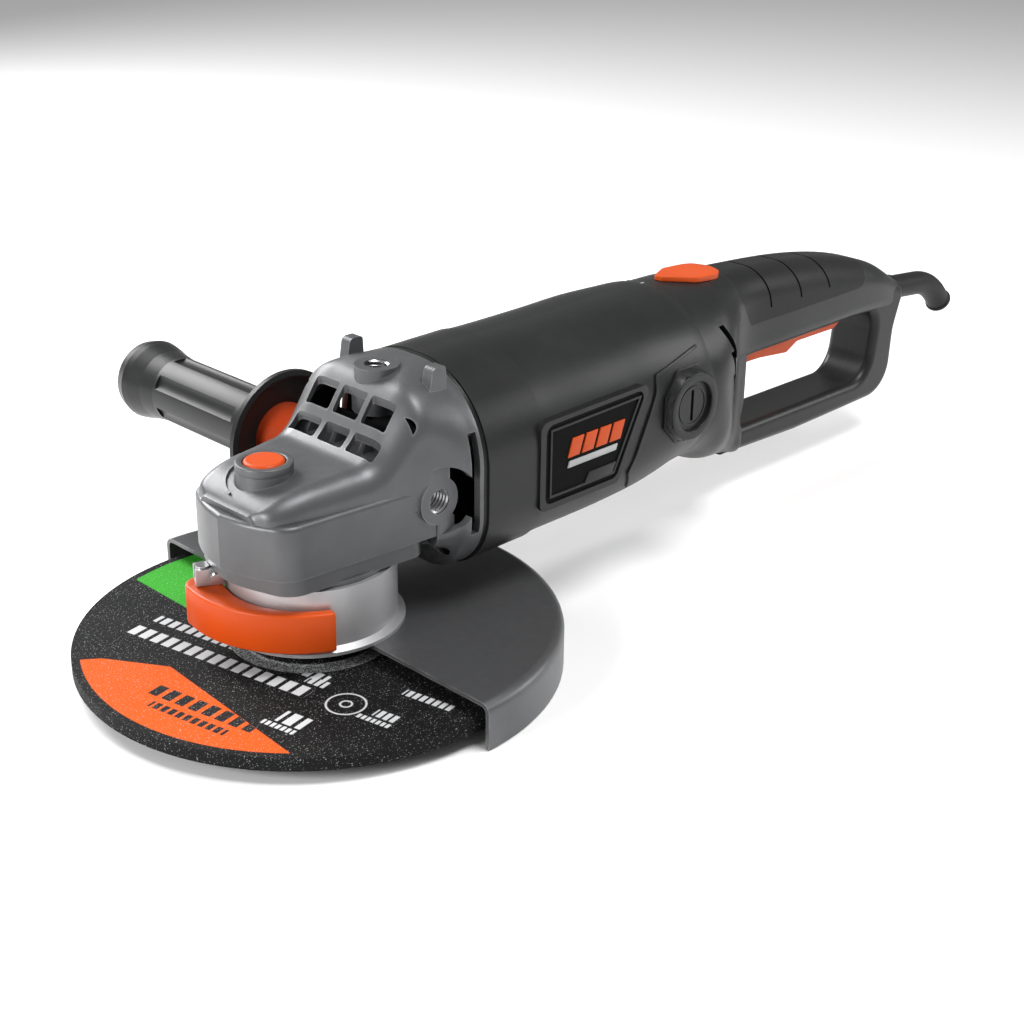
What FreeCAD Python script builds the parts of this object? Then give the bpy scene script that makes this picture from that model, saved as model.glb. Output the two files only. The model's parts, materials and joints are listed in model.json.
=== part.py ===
import FreeCAD, Part
import math
import os

from FreeCAD import Vector

os.makedirs("parts", exist_ok=True)

# Angle grinder. X runs rearwards along the motor, Y towards the side handle, Z up along the spindle.
# The origin is on the spindle axis at the lock nut's face, which is level with the disc's working face.

# ---------------------------------------------------------------- driving dimensions, millimetres
running_gap = 0.05          # radial clearance of shafts, necks and sliding pins
moving_gap = 0.4            # clearance between pieces that move past each other
seam = 0.3                  # gap between curved faces of neighbouring bodies

motor_z = 81.0              # height of the motor axis above the disc's working face

disc_r = 112.5
disc_t = 6.5
disc_bore_r = 11.1
disc_hub_r = 29.5           # flat raised centre
disc_hub_rise = 3.5
disc_slope = 5.0            # radial width of the step between hub and rim

thread_r = 7.0              # M14 spindle thread
tapping_r = 6.0             # M14 tapping hole
nut_r = 22.0
nut_pcd = 35.0
nut_hole_r = 2.5
nose_r = 8.5                # spindle seat of the inner flange
inner_flange_r = 21.0
inner_flange_t = 8.0
spindle_r = 12.0
lower_bearing_bore_r = 8.5
lower_bearing_r = 20.0
lower_bearing_w = 12.0
lower_bearing_z = 51.0
gear_seat_r = 8.0
key_w = 4.0
key_rise = 1.8
upper_bearing_bore_r = 6.0
upper_bearing_r = 11.0
upper_bearing_w = 8.0

module = 1.6                # bevel gears
pinion_teeth = 10
ring_teeth = 41
face_width = 8.0
tooth_shift = 0.4
pressure_angle = math.radians(20.0)
backlash = 0.22

guard_clearance = 7.0       # from the disc's edge to the outside of the guard's skirt
guard_r = disc_r + guard_clearance
guard_t = 2.0
guard_top = 16.0
guard_skirt_low = -6.5
guard_edge_r = 5.0
guard_from = -90.0          # degrees from +X
guard_sweep = 180.0
collar_r = 38.0             # neck of the bearing cover, inside the guard's collar
collar_wall = 2.5
collar_top = 47.5
ear_angle = 152.0           # where the collar splits, degrees from +X
pivot_r = 50.0              # clamp lever's pin, from the spindle axis
lever_low = 19.5
lever_high = 39.0
lever_pin_r = 2.0
tie_r = 1.5                 # bolt across the collar's ears

cover_low = 49.0
cover_top = 57.0
neck_low = 24.0
neck_wall = 7.0

box_top = 83.0              # shoulder between the head's lower box and its dome
box_front_w = 34.5
box_front_x = -39.0
box_bow = 12.0              # how far the front face bows out past its corners
box_corner_r = 13.0
head_wall = 4.0
gear_chamber_r = 35.8
gear_chamber_top = 80.0

flange_w = 50.0             # half width of the joint between head and motor housing
flange_low = 30.5
flange_high = 131.0
flange_x = 56.0
joint_x = 64.0              # the motor housing starts here

button_x = -24.0
button_r = 9.5
button_top = 102.0
lock_pin_x = -19.5
lock_pin_r = 2.5
lock_pin_low = motor_z - 6.0

boss_x = 43.0               # side handle bosses
boss_z = 74.5
boss_r = 11.5
boss_face_y = 42.5
boss_depth = 17.0
damper_r = 17.0
top_boss_high = 131.0

pinion_bore_r = 4.0
front_bearing_x = 44.0
front_bearing_r = 16.0
front_bearing_bore_r = 6.0
front_bearing_w = 10.0
shaft_r = 8.0
core_x0 = 118.0
core_len = 60.0
core_r = 27.0
air_gap = 0.6
field_r = 45.0
fan_x = 68.0
fan_r = 40.0
fan_w = 17.0
fan_blades = 12
commutator_x = 200.0
commutator_len = 24.0
commutator_r = 17.0
rear_bearing_x = 228.0
rear_bearing_r = 11.0
rear_bearing_bore_r = 4.0
rear_bearing_w = 7.0

body_w = 50.0               # motor housing, half width
body_low = 30.0
body_high = 131.5
body_wall = 3.5
collar_step_x = 104.0
collar_step = 0.9
swivel_x = 233.0            # joint between motor housing and rear handle
swivel_r = 50.0
swivel_neck_r = 38.5
swivel_lip_rise = 3.0       # how far the lip stands out past the neck
swivel_lip_r = swivel_neck_r + swivel_lip_rise
swivel_neck_len = 8.0
swivel_lip_t = 3.5

brush_x = 212.0
brush_w = 8.0
brush_h = 13.0
brush_ring_r = 18.5
brush_cap_r = 13.5
brush_face_y = 53.5

plate_y = 51.2              # name plate face

side_grip_r = 17.7
side_flange_r = 34.5
side_flange_y = 68.0
side_end_y = 196.0
side_bulb_r = 21.5
stud_len = 60.0

grip_wall = 3.0
bar_w = 17.0                # half width of the rear handle's loop
handle_end_x = 457.0
trigger_w = 8.0
trigger_pivot_x = 408.0
trigger_pin_r = 1.8
trigger_pivot_z = 80.0
sleeve_r = 8.3
sleeve_bore_r = 4.2
pad_t = 1.8
sleeve_start = Vector(458.0, 0, 80.8)
sleeve_dir = Vector(1, 0, -0.10).normalize()
slide_travel = 3.5          # of the rotation-lock button
handle_screw_y = 12.0       # seat of the screws' heads
handle_screws = [(290.5, 46.0), (360.0, 24.5), (443.0, 25.5), (449.5, 62.0), (293.5, 69.0)]

# ---------------------------------------------------------------- shape helpers


def cyl(r, z0, z1, x=0.0, y=0.0):
    return Part.makeCylinder(r, z1 - z0, Vector(x, y, z0))


def cyl_x(r, x0, x1, y=0.0, z=motor_z):
    return Part.makeCylinder(r, x1 - x0, Vector(x0, y, z), Vector(1, 0, 0))


def cyl_y(r, y0, y1, x, z):
    return Part.makeCylinder(r, y1 - y0, Vector(x, y0, z), Vector(0, 1, 0))


def block(x0, x1, y0, y1, z0, z1):
    return Part.makeBox(x1 - x0, y1 - y0, z1 - z0, Vector(x0, y0, z0))


def join(shapes):
    return shapes[0].fuse(shapes[1:]).removeSplitter()


def mirrored(shape):
    return shape.mirror(Vector(0, 0, 0), Vector(0, 1, 0))


def both_sides(shape):
    return [shape, mirrored(shape)]


def rounded_wire(corners, place):
    """Closed outline through corners (u, v, radius), each rounded by its own radius."""
    starts = []
    ends = []
    mids = []
    count = len(corners)
    for i in range(count):
        u, v, radius = corners[i]
        back = Vector(corners[i - 1][0] - u, corners[i - 1][1] - v, 0).normalize()
        ahead = Vector(corners[(i + 1) % count][0] - u, corners[(i + 1) % count][1] - v, 0).normalize()
        half = back.getAngle(ahead) / 2
        if radius == 0 or abs(half - math.pi / 2) < 1e-4:
            starts.append((u, v))
            ends.append((u, v))
            mids.append(None)
            continue
        reach = radius / math.tan(half)
        middle = (back + ahead).normalize() * (radius / math.sin(half) - radius)
        starts.append((u + back.x * reach, v + back.y * reach))
        ends.append((u + ahead.x * reach, v + ahead.y * reach))
        mids.append((u + middle.x, v + middle.y))
    edges = []
    for i in range(count):
        if mids[i] is not None:
            edges.append(Part.Arc(place(*starts[i]), place(*mids[i]), place(*ends[i])).toShape())
        a = place(*ends[i])
        b = place(*starts[(i + 1) % count])
        if (b - a).Length > 1e-6:
            edges.append(Part.LineSegment(a, b).toShape())
    return Part.Wire(edges)


def prism_xz(corners, y0, y1):
    wire = rounded_wire(corners, lambda u, v: Vector(u, y0, v))
    return Part.Face(wire).extrude(Vector(0, y1 - y0, 0))


def prism_xy(corners, z0, z1):
    wire = rounded_wire(corners, lambda u, v: Vector(u, v, z0))
    return Part.Face(wire).extrude(Vector(0, 0, z1 - z0))


def section(x, half_w, low, high, r_top, r_low):
    """Outline across the X axis: a box with rounded top and bottom corners."""
    corners = [(-half_w, low, r_low), (half_w, low, r_low), (half_w, high, r_top), (-half_w, high, r_top)]
    return rounded_wire(corners, lambda u, v: Vector(x, u, v))


def eased(sections, steps=2):
    """More sections between the given ones; every value follows a cubic that never overshoots."""
    places = [s[0] for s in sections]
    columns = list(zip(*sections))[1:]
    slopes = []
    for column in columns:
        rise = [(b - a) / (q - p) for a, b, p, q in zip(column, column[1:], places, places[1:])]
        inner = [0.0 if a * b <= 0 else 2 * a * b / (a + b) for a, b in zip(rise, rise[1:])]
        slopes.append([rise[0]] + inner + [rise[-1]])
    dense = []
    for i in range(len(places) - 1):
        span = places[i + 1] - places[i]
        for k in range(steps):
            t = k / steps
            values = [places[i] + span * t]
            for column, slope in zip(columns, slopes):
                fixed = (1 + 2 * t) * (1 - t) ** 2 * column[i] + t * t * (3 - 2 * t) * column[i + 1]
                values.append(fixed + span * (t * (1 - t) ** 2 * slope[i] - t * t * (1 - t) * slope[i + 1]))
            dense.append(tuple(values))
    return dense + [tuple(sections[-1])]


def hull_along_x(sections, inset=0.0, steps=2):
    """Smooth body through sections; inset shrinks every section by a wall thickness."""
    wires = []
    for x, half_w, low, high, r_top, r_low in eased(sections, steps):
        top = max(r_top - inset, 1.0)
        bottom = max(r_low - inset, 1.0)
        wires.append(section(x, half_w - inset, low + inset, high - inset, top, bottom))
    return Part.makeLoft(wires, True, False)


def turned(points, origin, across, axis, angle=360.0):
    """Solid of revolution; points are (radius, height along the axis)."""
    vectors = [origin + across * r + axis * h for r, h in points]
    face = Part.Face(Part.makePolygon(vectors + vectors[:1]))
    return face.revolve(origin, axis, angle)


def turned_z(points):
    return turned(points, Vector(0, 0, 0), Vector(1, 0, 0), Vector(0, 0, 1))


def turned_x(points):
    return turned(points, Vector(0, 0, motor_z), Vector(0, 0, 1), Vector(1, 0, 0))


def turned_y(points, x, z):
    return turned(points, Vector(x, 0, z), Vector(1, 0, 0), Vector(0, 1, 0))


def turn_about(shape, origin, axis, angle):
    copy = shape.copy()
    copy.rotate(origin, axis, angle)
    return copy


def bearing(r_in, r_out, width):
    """Sealed ball bearing along +Z from 0: outer race, inner race and shields as one closed ring."""
    race = (r_out - r_in) * 0.22
    dish = 0.5
    points = [(r_in, 0), (r_in + race, 0), (r_in + race, dish), (r_out - race, dish), (r_out - race, 0)]
    points += [(r_out, 0), (r_out, width), (r_out - race, width), (r_out - race, width - dish)]
    points += [(r_in + race, width - dish), (r_in + race, width), (r_in, width)]
    return turned_z(points)


def along_x(shape, x):
    """Lay a piece built along +Z on the motor axis, starting at x."""
    copy = shape.copy()
    copy.rotate(Vector(0, 0, 0), Vector(0, 1, 0), 90)
    copy.translate(Vector(x, 0, motor_z))
    return copy


def screw(head_r, head_h, shank_r, length):
    """Pan-head screw along -Z: head above the origin, shank below, with a cross recess."""
    head = Part.makeCylinder(head_r, head_h)
    head = head.makeFillet(head_h * 0.35, [e for e in head.Edges if e.BoundBox.ZMin > head_h - 0.01])
    slot = block(-head_r * 0.6, head_r * 0.6, -head_r * 0.13, head_r * 0.13, head_h * 0.45, head_h + 1)
    head = head.cut(slot.fuse(turn_about(slot, Vector(0, 0, 0), Vector(0, 0, 1), 90)))
    return head.fuse(Part.makeCylinder(shank_r, length, Vector(0, 0, -length))).removeSplitter()


def coil_spring(radius, wire_r, height, turns):
    """Compression spring along +Z from 0, wire centre on the given radius."""
    pitch = (height - 2 * wire_r) / turns
    helix = Part.makeHelix(pitch, pitch * turns, radius)
    start = helix.Edges[0].valueAt(helix.Edges[0].FirstParameter)
    ring = Part.Wire(Part.makeCircle(wire_r, start, Vector(0, 1, 0)))
    spring = Part.Wire(helix).makePipeShell([ring], True, True)
    spring.translate(Vector(0, 0, wire_r))
    return spring


def largest(shape):
    """The main solid of a cut, without the slivers that two nearly equal curved faces leave."""
    return max(shape.Solids, key=lambda s: s.Volume)


def save(node, shape):
    solids = shape.Solids
    assert solids, node + " has no solid"
    assert shape.isValid(), node + " is not valid"
    result = solids[0] if len(solids) == 1 else Part.makeCompound(solids)
    result.exportStep("parts/" + node + ".step")
    volume = sum(s.Volume for s in solids)
    print(node, len(solids), round(volume), flush=True)


# ---------------------------------------------------------------- bevel gears
apex = Vector(0, 0, motor_z)
pinion_pitch_r = module * pinion_teeth / 2
ring_pitch_r = module * ring_teeth / 2
cone_length = math.hypot(pinion_pitch_r, ring_pitch_r)
inner_scale = 1 - face_width / cone_length


def involute(angle):
    return math.tan(angle) - angle


def tooth_profile(pitch_r, cone, shift):
    """Half profile (half width, height) of one tooth on its back cone, from root to tip."""
    virtual_r = pitch_r / math.cos(cone)
    base_r = virtual_r * math.cos(pressure_angle)
    root = virtual_r - (1.25 - shift) * module - 0.5
    tip = virtual_r + (1.0 + shift) * module
    width = math.pi * module / 2 + 2 * shift * module * math.tan(pressure_angle) - backlash
    half_angle = width / (2 * virtual_r)
    radii = [root] + [max(base_r, root) + (tip - max(base_r, root)) * i / 4 for i in range(5)]
    profile = []
    for radius in radii:
        pressure = math.acos(min(1.0, base_r / radius))
        angle = half_angle + involute(pressure_angle) - involute(pressure)
        profile.append((radius * math.sin(angle), radius * math.cos(angle) - virtual_r))
    return profile


def gear_teeth(count, pitch_r, axis, start, shift, phase):
    """Teeth about an axis through the apex, the first one at phase degrees from start."""
    cone = math.asin(pitch_r / cone_length)
    profile = tooth_profile(pitch_r, cone, shift)
    side = axis.cross(start)
    along = axis * math.cos(cone) + start * math.sin(cone)
    outwards = start * math.cos(cone) - axis * math.sin(cone)
    pitch_point = along * cone_length
    loop = [(-w, h) for w, h in profile] + [(w, h) for w, h in reversed(profile)]
    outer = [pitch_point + side * w + outwards * h for w, h in loop]
    outer_wire = Part.makePolygon([apex + p for p in outer] + [apex + outer[0]])
    inner_wire = Part.makePolygon([apex + p * inner_scale for p in outer] + [apex + outer[0] * inner_scale])
    tooth = Part.makeLoft([outer_wire, inner_wire], True, True)
    return [turn_about(tooth, apex, axis, phase + 360.0 * i / count) for i in range(count)]


def root_point(pitch_r, shift, scale):
    """(radius, distance from the apex along the gear axis) of the root cone."""
    cone = math.asin(pitch_r / cone_length)
    depth = (1.25 - shift) * module
    radius = pitch_r - depth * math.cos(cone)
    height = cone_length * math.cos(cone) + depth * math.sin(cone)
    return radius * scale, height * scale


def build_gears():
    r_out, h_out = root_point(ring_pitch_r, -tooth_shift, 1.0)
    r_in, h_in = root_point(ring_pitch_r, -tooth_shift, inner_scale)
    web_top = motor_z - h_in - 1.4
    hub_low = lower_bearing_z + lower_bearing_w + 3.0
    hub_top = gear_chamber_top - 1.0
    points = [(gear_seat_r, hub_low), (gear_seat_r + 12, hub_low), (r_out - 1.0, hub_low + 4.0)]
    points += [(r_out, motor_z - h_out), (r_in, motor_z - h_in), (r_in - 1.0, web_top)]
    points += [(gear_seat_r + 6, web_top), (gear_seat_r + 6, hub_top), (gear_seat_r, hub_top)]
    blank = turned_z(points)
    teeth = gear_teeth(ring_teeth, ring_pitch_r, Vector(0, 0, -1), Vector(1, 0, 0), -tooth_shift, 0.0)
    ring = blank.fuse(teeth)
    for i in range(4):
        angle = math.pi / 2 * i
        hole = cyl(lock_pin_r + 0.5, hub_low - 1, web_top + 1,
                   lock_pin_x * math.cos(angle), lock_pin_x * math.sin(angle))
        ring = ring.cut(hole)
    ring = ring.cut(block(-key_w / 2, key_w / 2, 0, gear_seat_r + key_rise, hub_low - 1, hub_top + 1))
    save("ring_gear", ring)

    r_out, h_out = root_point(pinion_pitch_r, tooth_shift, 1.0)
    r_in, h_in = root_point(pinion_pitch_r, tooth_shift, inner_scale)
    back = front_bearing_x - 0.5
    points = [(pinion_bore_r, h_in), (r_in, h_in), (r_out, h_out), (r_out, back), (pinion_bore_r, back)]
    teeth = gear_teeth(pinion_teeth, pinion_pitch_r, Vector(1, 0, 0), Vector(0, 0, -1), tooth_shift,
                       180.0 / pinion_teeth)
    save("pinion", turned_x(points).fuse(teeth))


# ---------------------------------------------------------------- spindle, flanges and disc
hub_low_z = disc_hub_rise
hub_top_z = disc_hub_rise + disc_t
flange_top_z = hub_top_z + inner_flange_t
upper_bearing_z = gear_chamber_top


def build_spindle():
    nose_low = 1.0
    top = upper_bearing_z + upper_bearing_w
    points = [(0, nose_low), (thread_r - 1, nose_low), (thread_r, nose_low + 1), (thread_r, hub_top_z)]
    points += [(nose_r, hub_top_z), (nose_r, flange_top_z), (spindle_r, flange_top_z)]
    points += [(spindle_r, lower_bearing_z), (lower_bearing_bore_r, lower_bearing_z)]
    shoulder = lower_bearing_z + lower_bearing_w + 3.0
    points += [(lower_bearing_bore_r, shoulder), (gear_seat_r, shoulder)]
    points += [(gear_seat_r, gear_chamber_top - 1), (upper_bearing_bore_r, gear_chamber_top - 1)]
    points += [(upper_bearing_bore_r, top - 0.8), (upper_bearing_bore_r - 0.8, top), (0, top)]
    spindle = turned_z(points)
    key_slot = block(-key_w / 2, key_w / 2, gear_seat_r - 2.2, gear_seat_r + 2, shoulder + 1,
                     gear_chamber_top - 2)
    flat = block(-20, 20, nose_r - 1.0, 20, hub_top_z, flange_top_z)
    spindle = spindle.cut(key_slot).cut(flat).cut(mirrored(flat))
    save("spindle", spindle)

    key = block(-key_w / 2, key_w / 2, gear_seat_r - 2.2, gear_seat_r + key_rise, shoulder + 1,
                gear_chamber_top - 2)
    save("gear_key", key)

    spigot_low = hub_top_z - 3.0
    ring = [(nose_r + running_gap, spigot_low), (disc_bore_r - 0.15, spigot_low),
            (disc_bore_r - 0.15, hub_top_z)]
    ring += [(inner_flange_r, hub_top_z), (inner_flange_r, flange_top_z - 2),
             (inner_flange_r - 2, flange_top_z)]
    ring += [(nose_r + running_gap, flange_top_z)]
    flange = turned_z(ring)
    for side in (-1, 1):
        low, high = sorted((side * (nose_r - 0.9), side * (nose_r + 1)))
        tongue = block(-6, 6, low, high, hub_top_z, flange_top_z)
        flange = flange.fuse(tongue.common(cyl(nose_r + 1, hub_top_z, flange_top_z)))
    save("inner_flange", flange.removeSplitter())

    nut = [(thread_r + running_gap, 0), (nut_r - 0.8, 0), (nut_r, 0.8), (nut_r, hub_low_z)]
    nut += [(disc_bore_r - 0.2, hub_low_z), (disc_bore_r - 0.2, hub_low_z + 3),
            (thread_r + running_gap, hub_low_z + 3)]
    nut = turned_z(nut)
    for i in range(4):
        angle = math.radians(45 + 90 * i)
        nut = nut.cut(cyl(nut_hole_r, -1, hub_low_z + 1, nut_pcd / 2 * math.cos(angle),
                          nut_pcd / 2 * math.sin(angle)))
    save("lock_nut", nut)

    disc = [(disc_bore_r, hub_low_z), (disc_hub_r - 1.5, hub_low_z), (disc_hub_r + disc_slope - 1.5, 0)]
    disc += [(disc_r, 0), (disc_r, disc_t), (disc_hub_r + disc_slope, disc_t), (disc_hub_r, hub_top_z)]
    disc += [(disc_bore_r, hub_top_z)]
    save("grinding_disc", turned_z(disc))

    lower = bearing(lower_bearing_bore_r, lower_bearing_r, lower_bearing_w)
    lower.translate(Vector(0, 0, lower_bearing_z))
    save("spindle_bearing_lower", lower)
    upper = bearing(upper_bearing_bore_r + running_gap, upper_bearing_r, upper_bearing_w)
    upper.translate(Vector(0, 0, upper_bearing_z))
    save("spindle_bearing_upper", upper)
    seal = turned_z([(spindle_r + running_gap, 45), (lower_bearing_r - 3, 45), (lower_bearing_r - 3, 48.5),
                     (spindle_r + running_gap, 48.5)])
    save("spindle_seal", seal)


# ---------------------------------------------------------------- head
dome = [
    (-46.0, 19.0, 70.0, 85.5, 4.0, 3.0),
    (-41.0, 27.0, 70.0, 89.5, 6.0, 3.0),
    (-33.0, 31.0, 70.0, 93.0, 9.0, 3.0),
    (-22.0, 33.0, 70.0, 95.0, 10.0, 3.0),
    (-6.0, 35.0, 70.0, 96.0, 11.0, 3.0),
    (9.0, 37.0, 70.0, 97.5, 12.0, 3.0),
    (18.0, 38.5, 70.0, 104.5, 15.0, 3.0),
    (27.0, 40.0, 70.0, 117.0, 18.0, 3.0),
    (35.0, 41.8, 70.0, 125.8, 20.0, 3.0),
    (44.0, 44.5, 66.0, 129.0, 28.0, 4.0),
    (54.0, 48.0, 60.0, 130.5, 38.0, 6.0),
    (joint_x, flange_w, 56.0, flange_high, 44.0, 8.0),
]
tail = [
    (42.0, 42.0, 49.5, 100.0, 10.0, 6.0),
    (50.0, 45.0, 45.0, 112.0, 20.0, 12.0),
    (flange_x, flange_w - 0.8, flange_low + 1, flange_high - 1.5, 43.0, 30.0),
    (joint_x, flange_w, flange_low, flange_high, 44.0, 32.0),
]


def box_outline(grow):
    """Plan of the head's lower box: a bowed front between two rounded corners, widening to the flange."""
    w = box_front_w + grow
    x = box_front_x - grow
    sweep = [(joint_x - 16, boss_face_y - 0.5 + grow, 0), (x, w, box_corner_r),
             (x - box_bow * 0.75, w * 0.5, 60.0),
             (x - box_bow, 0, 0)]
    return sweep + [(u, -v, r) for u, v, r in reversed(sweep[:-1])]


def build_head():
    box = prism_xy(box_outline(0), cover_top, box_top)
    top_edges = [e for e in box.Edges if e.BoundBox.ZMin > box_top - 0.01 and e.BoundBox.XMax < joint_x - 16.5]
    box = box.makeFillet(2.5, top_edges)
    shell = hull_along_x(dome)
    rear = hull_along_x(tail)
    bosses = []
    for side in (-1, 1):
        y0 = side * boss_face_y
        low, high = sorted((y0, side * (boss_face_y - boss_depth - 4)))
        bosses.append(cyl_y(boss_r, low, high, boss_x, boss_z))
    bosses.append(cyl(boss_r - 0.8, 110.0, top_boss_high, boss_x, 0))
    lugs = []
    for side in (-1, 1):
        lug = prism_xz([(45.0, 118.0, 0), (58.0, 118.0, 0), (57.0, 141.0, 2.0), (49.0, 141.0, 3.0)],
                       -3.0, 3.0)
        lug.translate(Vector(0, side * 29.0, -6.0))
        lugs.append(lug)
    button_boss = turned([(0, 88), (14.5, 88), (13.0, 97.5), (11.5, 99.0), (0, 99.0)],
                         Vector(button_x, 0, 0), Vector(1, 0, 0), Vector(0, 0, 1))
    head = join([shell, box, rear, button_boss] + bosses + lugs)

    # gear chamber and the pinion's pocket
    head = head.cut(cyl(gear_chamber_r, cover_top - 1, gear_chamber_top))
    head = head.cut(cyl_x(12.0, 20.0, front_bearing_x))
    head = head.cut(cyl(upper_bearing_r, gear_chamber_top - 1, upper_bearing_z + upper_bearing_w))
    # air chamber around the armature bearing's carrier, open to the motor
    region = prism_xz([(13.0, 93.0, 0), (22.0, 93.0, 0), (26.0, 100.0, 0), (46.0, 100.0, 0),
                       (46.0, 50.0, 0),
                       (joint_x + 1, 40.0, 0), (joint_x + 1, 140.0, 0), (13.0, 140.0, 0)], -60, 60)
    hollow = hull_along_x(dome, head_wall).fuse(hull_along_x(tail, head_wall)).common(region)
    keep = [cyl_x(front_bearing_r + 5, 36.0, front_bearing_x + front_bearing_w + 2)]
    for side in (-1, 1):
        low, high = sorted((side * 60.0, side * (boss_face_y - boss_depth - 4)))
        keep.append(cyl_y(boss_r, low, high, boss_x, boss_z))
    keep.append(cyl(boss_r + 0.5, 109.0, 140.0, boss_x, 0))
    hollow = hollow.cut(keep[0].fuse(keep[1:]))
    head = head.cut(hollow)
    # seats and through hole of the armature's front bearing
    head = head.cut(cyl_x(front_bearing_r, front_bearing_x, front_bearing_x + front_bearing_w + 3))
    head = head.cut(cyl_x(front_bearing_r - 3, front_bearing_x - 10, front_bearing_x + 1))
    # spot faces and tapped holes of the three handle bosses
    for side in (-1, 1):
        low, high = sorted((side * boss_face_y, side * (boss_face_y + 12)))
        head = head.cut(cyl_y(damper_r + seam, low, high, boss_x, boss_z))
        low, high = sorted((side * (boss_face_y + 1), side * (boss_face_y - boss_depth)))
        head = head.cut(cyl_y(tapping_r, low, high, boss_x, boss_z))
    head = head.cut(cyl(tapping_r, top_boss_high - 15.0, top_boss_high + 1, boss_x, 0))
    # lock button pocket and guide
    head = head.cut(cyl(button_r + 0.3, button_top - 15.2, button_top, button_x, 0))
    head = head.cut(cyl(lock_pin_r + running_gap, gear_chamber_top - 1, button_top, lock_pin_x, 0))
    # two rows of three vents across the slope
    for x0, x1, reach in ((12.6, 19.6, 30.0), (22.4, 30.6, 28.0)):
        for y0, y1 in ((-8.5, 8.5), (11.5, reach), (-reach, -11.5)):
            head = head.cut(prism_xy([(x0, y0, 1.2), (x1, y0, 1.2), (x1, y1, 1.2), (x0, y1, 1.2)],
                                    94.0, 140.0))
    # exhaust slots either side of the flange
    for side in (-1, 1):
        low, high = sorted((side * 43.0, side * 60.0))
        head = head.cut(block(57.0, 62.0, low, high, 55.0, 105.0))
    # screws into the motor housing, with their pockets
    for seat in screw_axes():
        head = head.cut(cyl_x(5.2, 30.0, flange_x + 1.0, seat[0], seat[1]))
        head = head.cut(cyl_x(2.3, 30.0, joint_x + 1, seat[0], seat[1]))
    for seat in cover_screw_axes():
        head = head.cut(cyl(2.0, cover_top - 1, cover_top + 14, seat[0], seat[1]))
    save("gear_housing", head)


def screw_axes():
    return [(side * y, z) for side in (-1, 1) for y, z in ((34.0, 111.5), (35.0, 47.0))]


def cover_screw_axes():
    return [(-31.5, -28.5), (-31.5, 28.5), (33.0, -33.5), (33.0, 33.5)]


def build_cover():
    plate = prism_xy([(38.0, 40.0, 8.0), (box_front_x + 0.8, box_front_w - 0.8, box_corner_r),
                      (box_front_x - box_bow + 2.0, 0, 40.0),
                      (box_front_x + 0.8, -(box_front_w - 0.8), box_corner_r), (38.0, -40.0, 8.0)],
                     cover_low, cover_top)
    cover = plate.fuse(cyl(collar_r, neck_low, cover_low + 1))
    cover = cover.fuse(cyl(lower_bearing_r + 5, cover_top - 1, lower_bearing_z + lower_bearing_w))
    cover = cover.cut(cyl(collar_r - neck_wall, neck_low - 1, 42.0))
    cover = cover.cut(cyl(lower_bearing_r, lower_bearing_z, cover_top + 20))
    cover = cover.cut(cyl(lower_bearing_r - 3, 41.0, lower_bearing_z + 1))
    for x, y in cover_screw_axes():
        cover = cover.cut(cyl(2.3, cover_low - 1, cover_top + 1, x, y))
        cover = cover.cut(cyl(4.4, cover_low - 1, cover_low + 3.5, x, y))
    save("bearing_cover", cover.removeSplitter())


def build_head_screws():
    screws = []
    for y, z in screw_axes():
        piece = turn_about(screw(4.4, 3.4, 2.2, 22.0), Vector(0, 0, 0), Vector(0, 1, 0), -90)
        piece.translate(Vector(flange_x + 1.0, y, z))
        screws.append(piece)
    save("gear_housing_screws", Part.makeCompound(screws))
    screws = []
    for x, y in cover_screw_axes():
        piece = turn_about(screw(4.0, 2.8, 1.9, 16.0), Vector(0, 0, 0), Vector(1, 0, 0), 180)
        piece.translate(Vector(x, y, cover_low + 3.5))
        screws.append(piece)
    save("bearing_cover_screws", Part.makeCompound(screws))


def build_lock_button():
    cap = cyl(button_r, button_top - 8.0, button_top, button_x, 0)
    cap = cap.makeFillet(1.6, [e for e in cap.Edges if e.BoundBox.ZMin > button_top - 0.01])
    cap = cap.cut(cyl(lock_pin_r, button_top - 9.0, button_top - 3.0, lock_pin_x, 0))
    save("spindle_lock_button", cap)
    pin = cyl(lock_pin_r, lock_pin_low, button_top - 3.0, lock_pin_x, 0)
    save("spindle_lock_pin", pin)
    spring = coil_spring(lock_pin_r + 0.9, 0.45, 7.2, 4)
    spring.translate(Vector(lock_pin_x, 0, button_top - 15.2))
    save("spindle_lock_spring", spring)


# ---------------------------------------------------------------- guard and its clamp
def on_ring(radius, degrees, z=0.0):
    return Vector(radius * math.cos(math.radians(degrees)), radius * math.sin(math.radians(degrees)), z)


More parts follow.
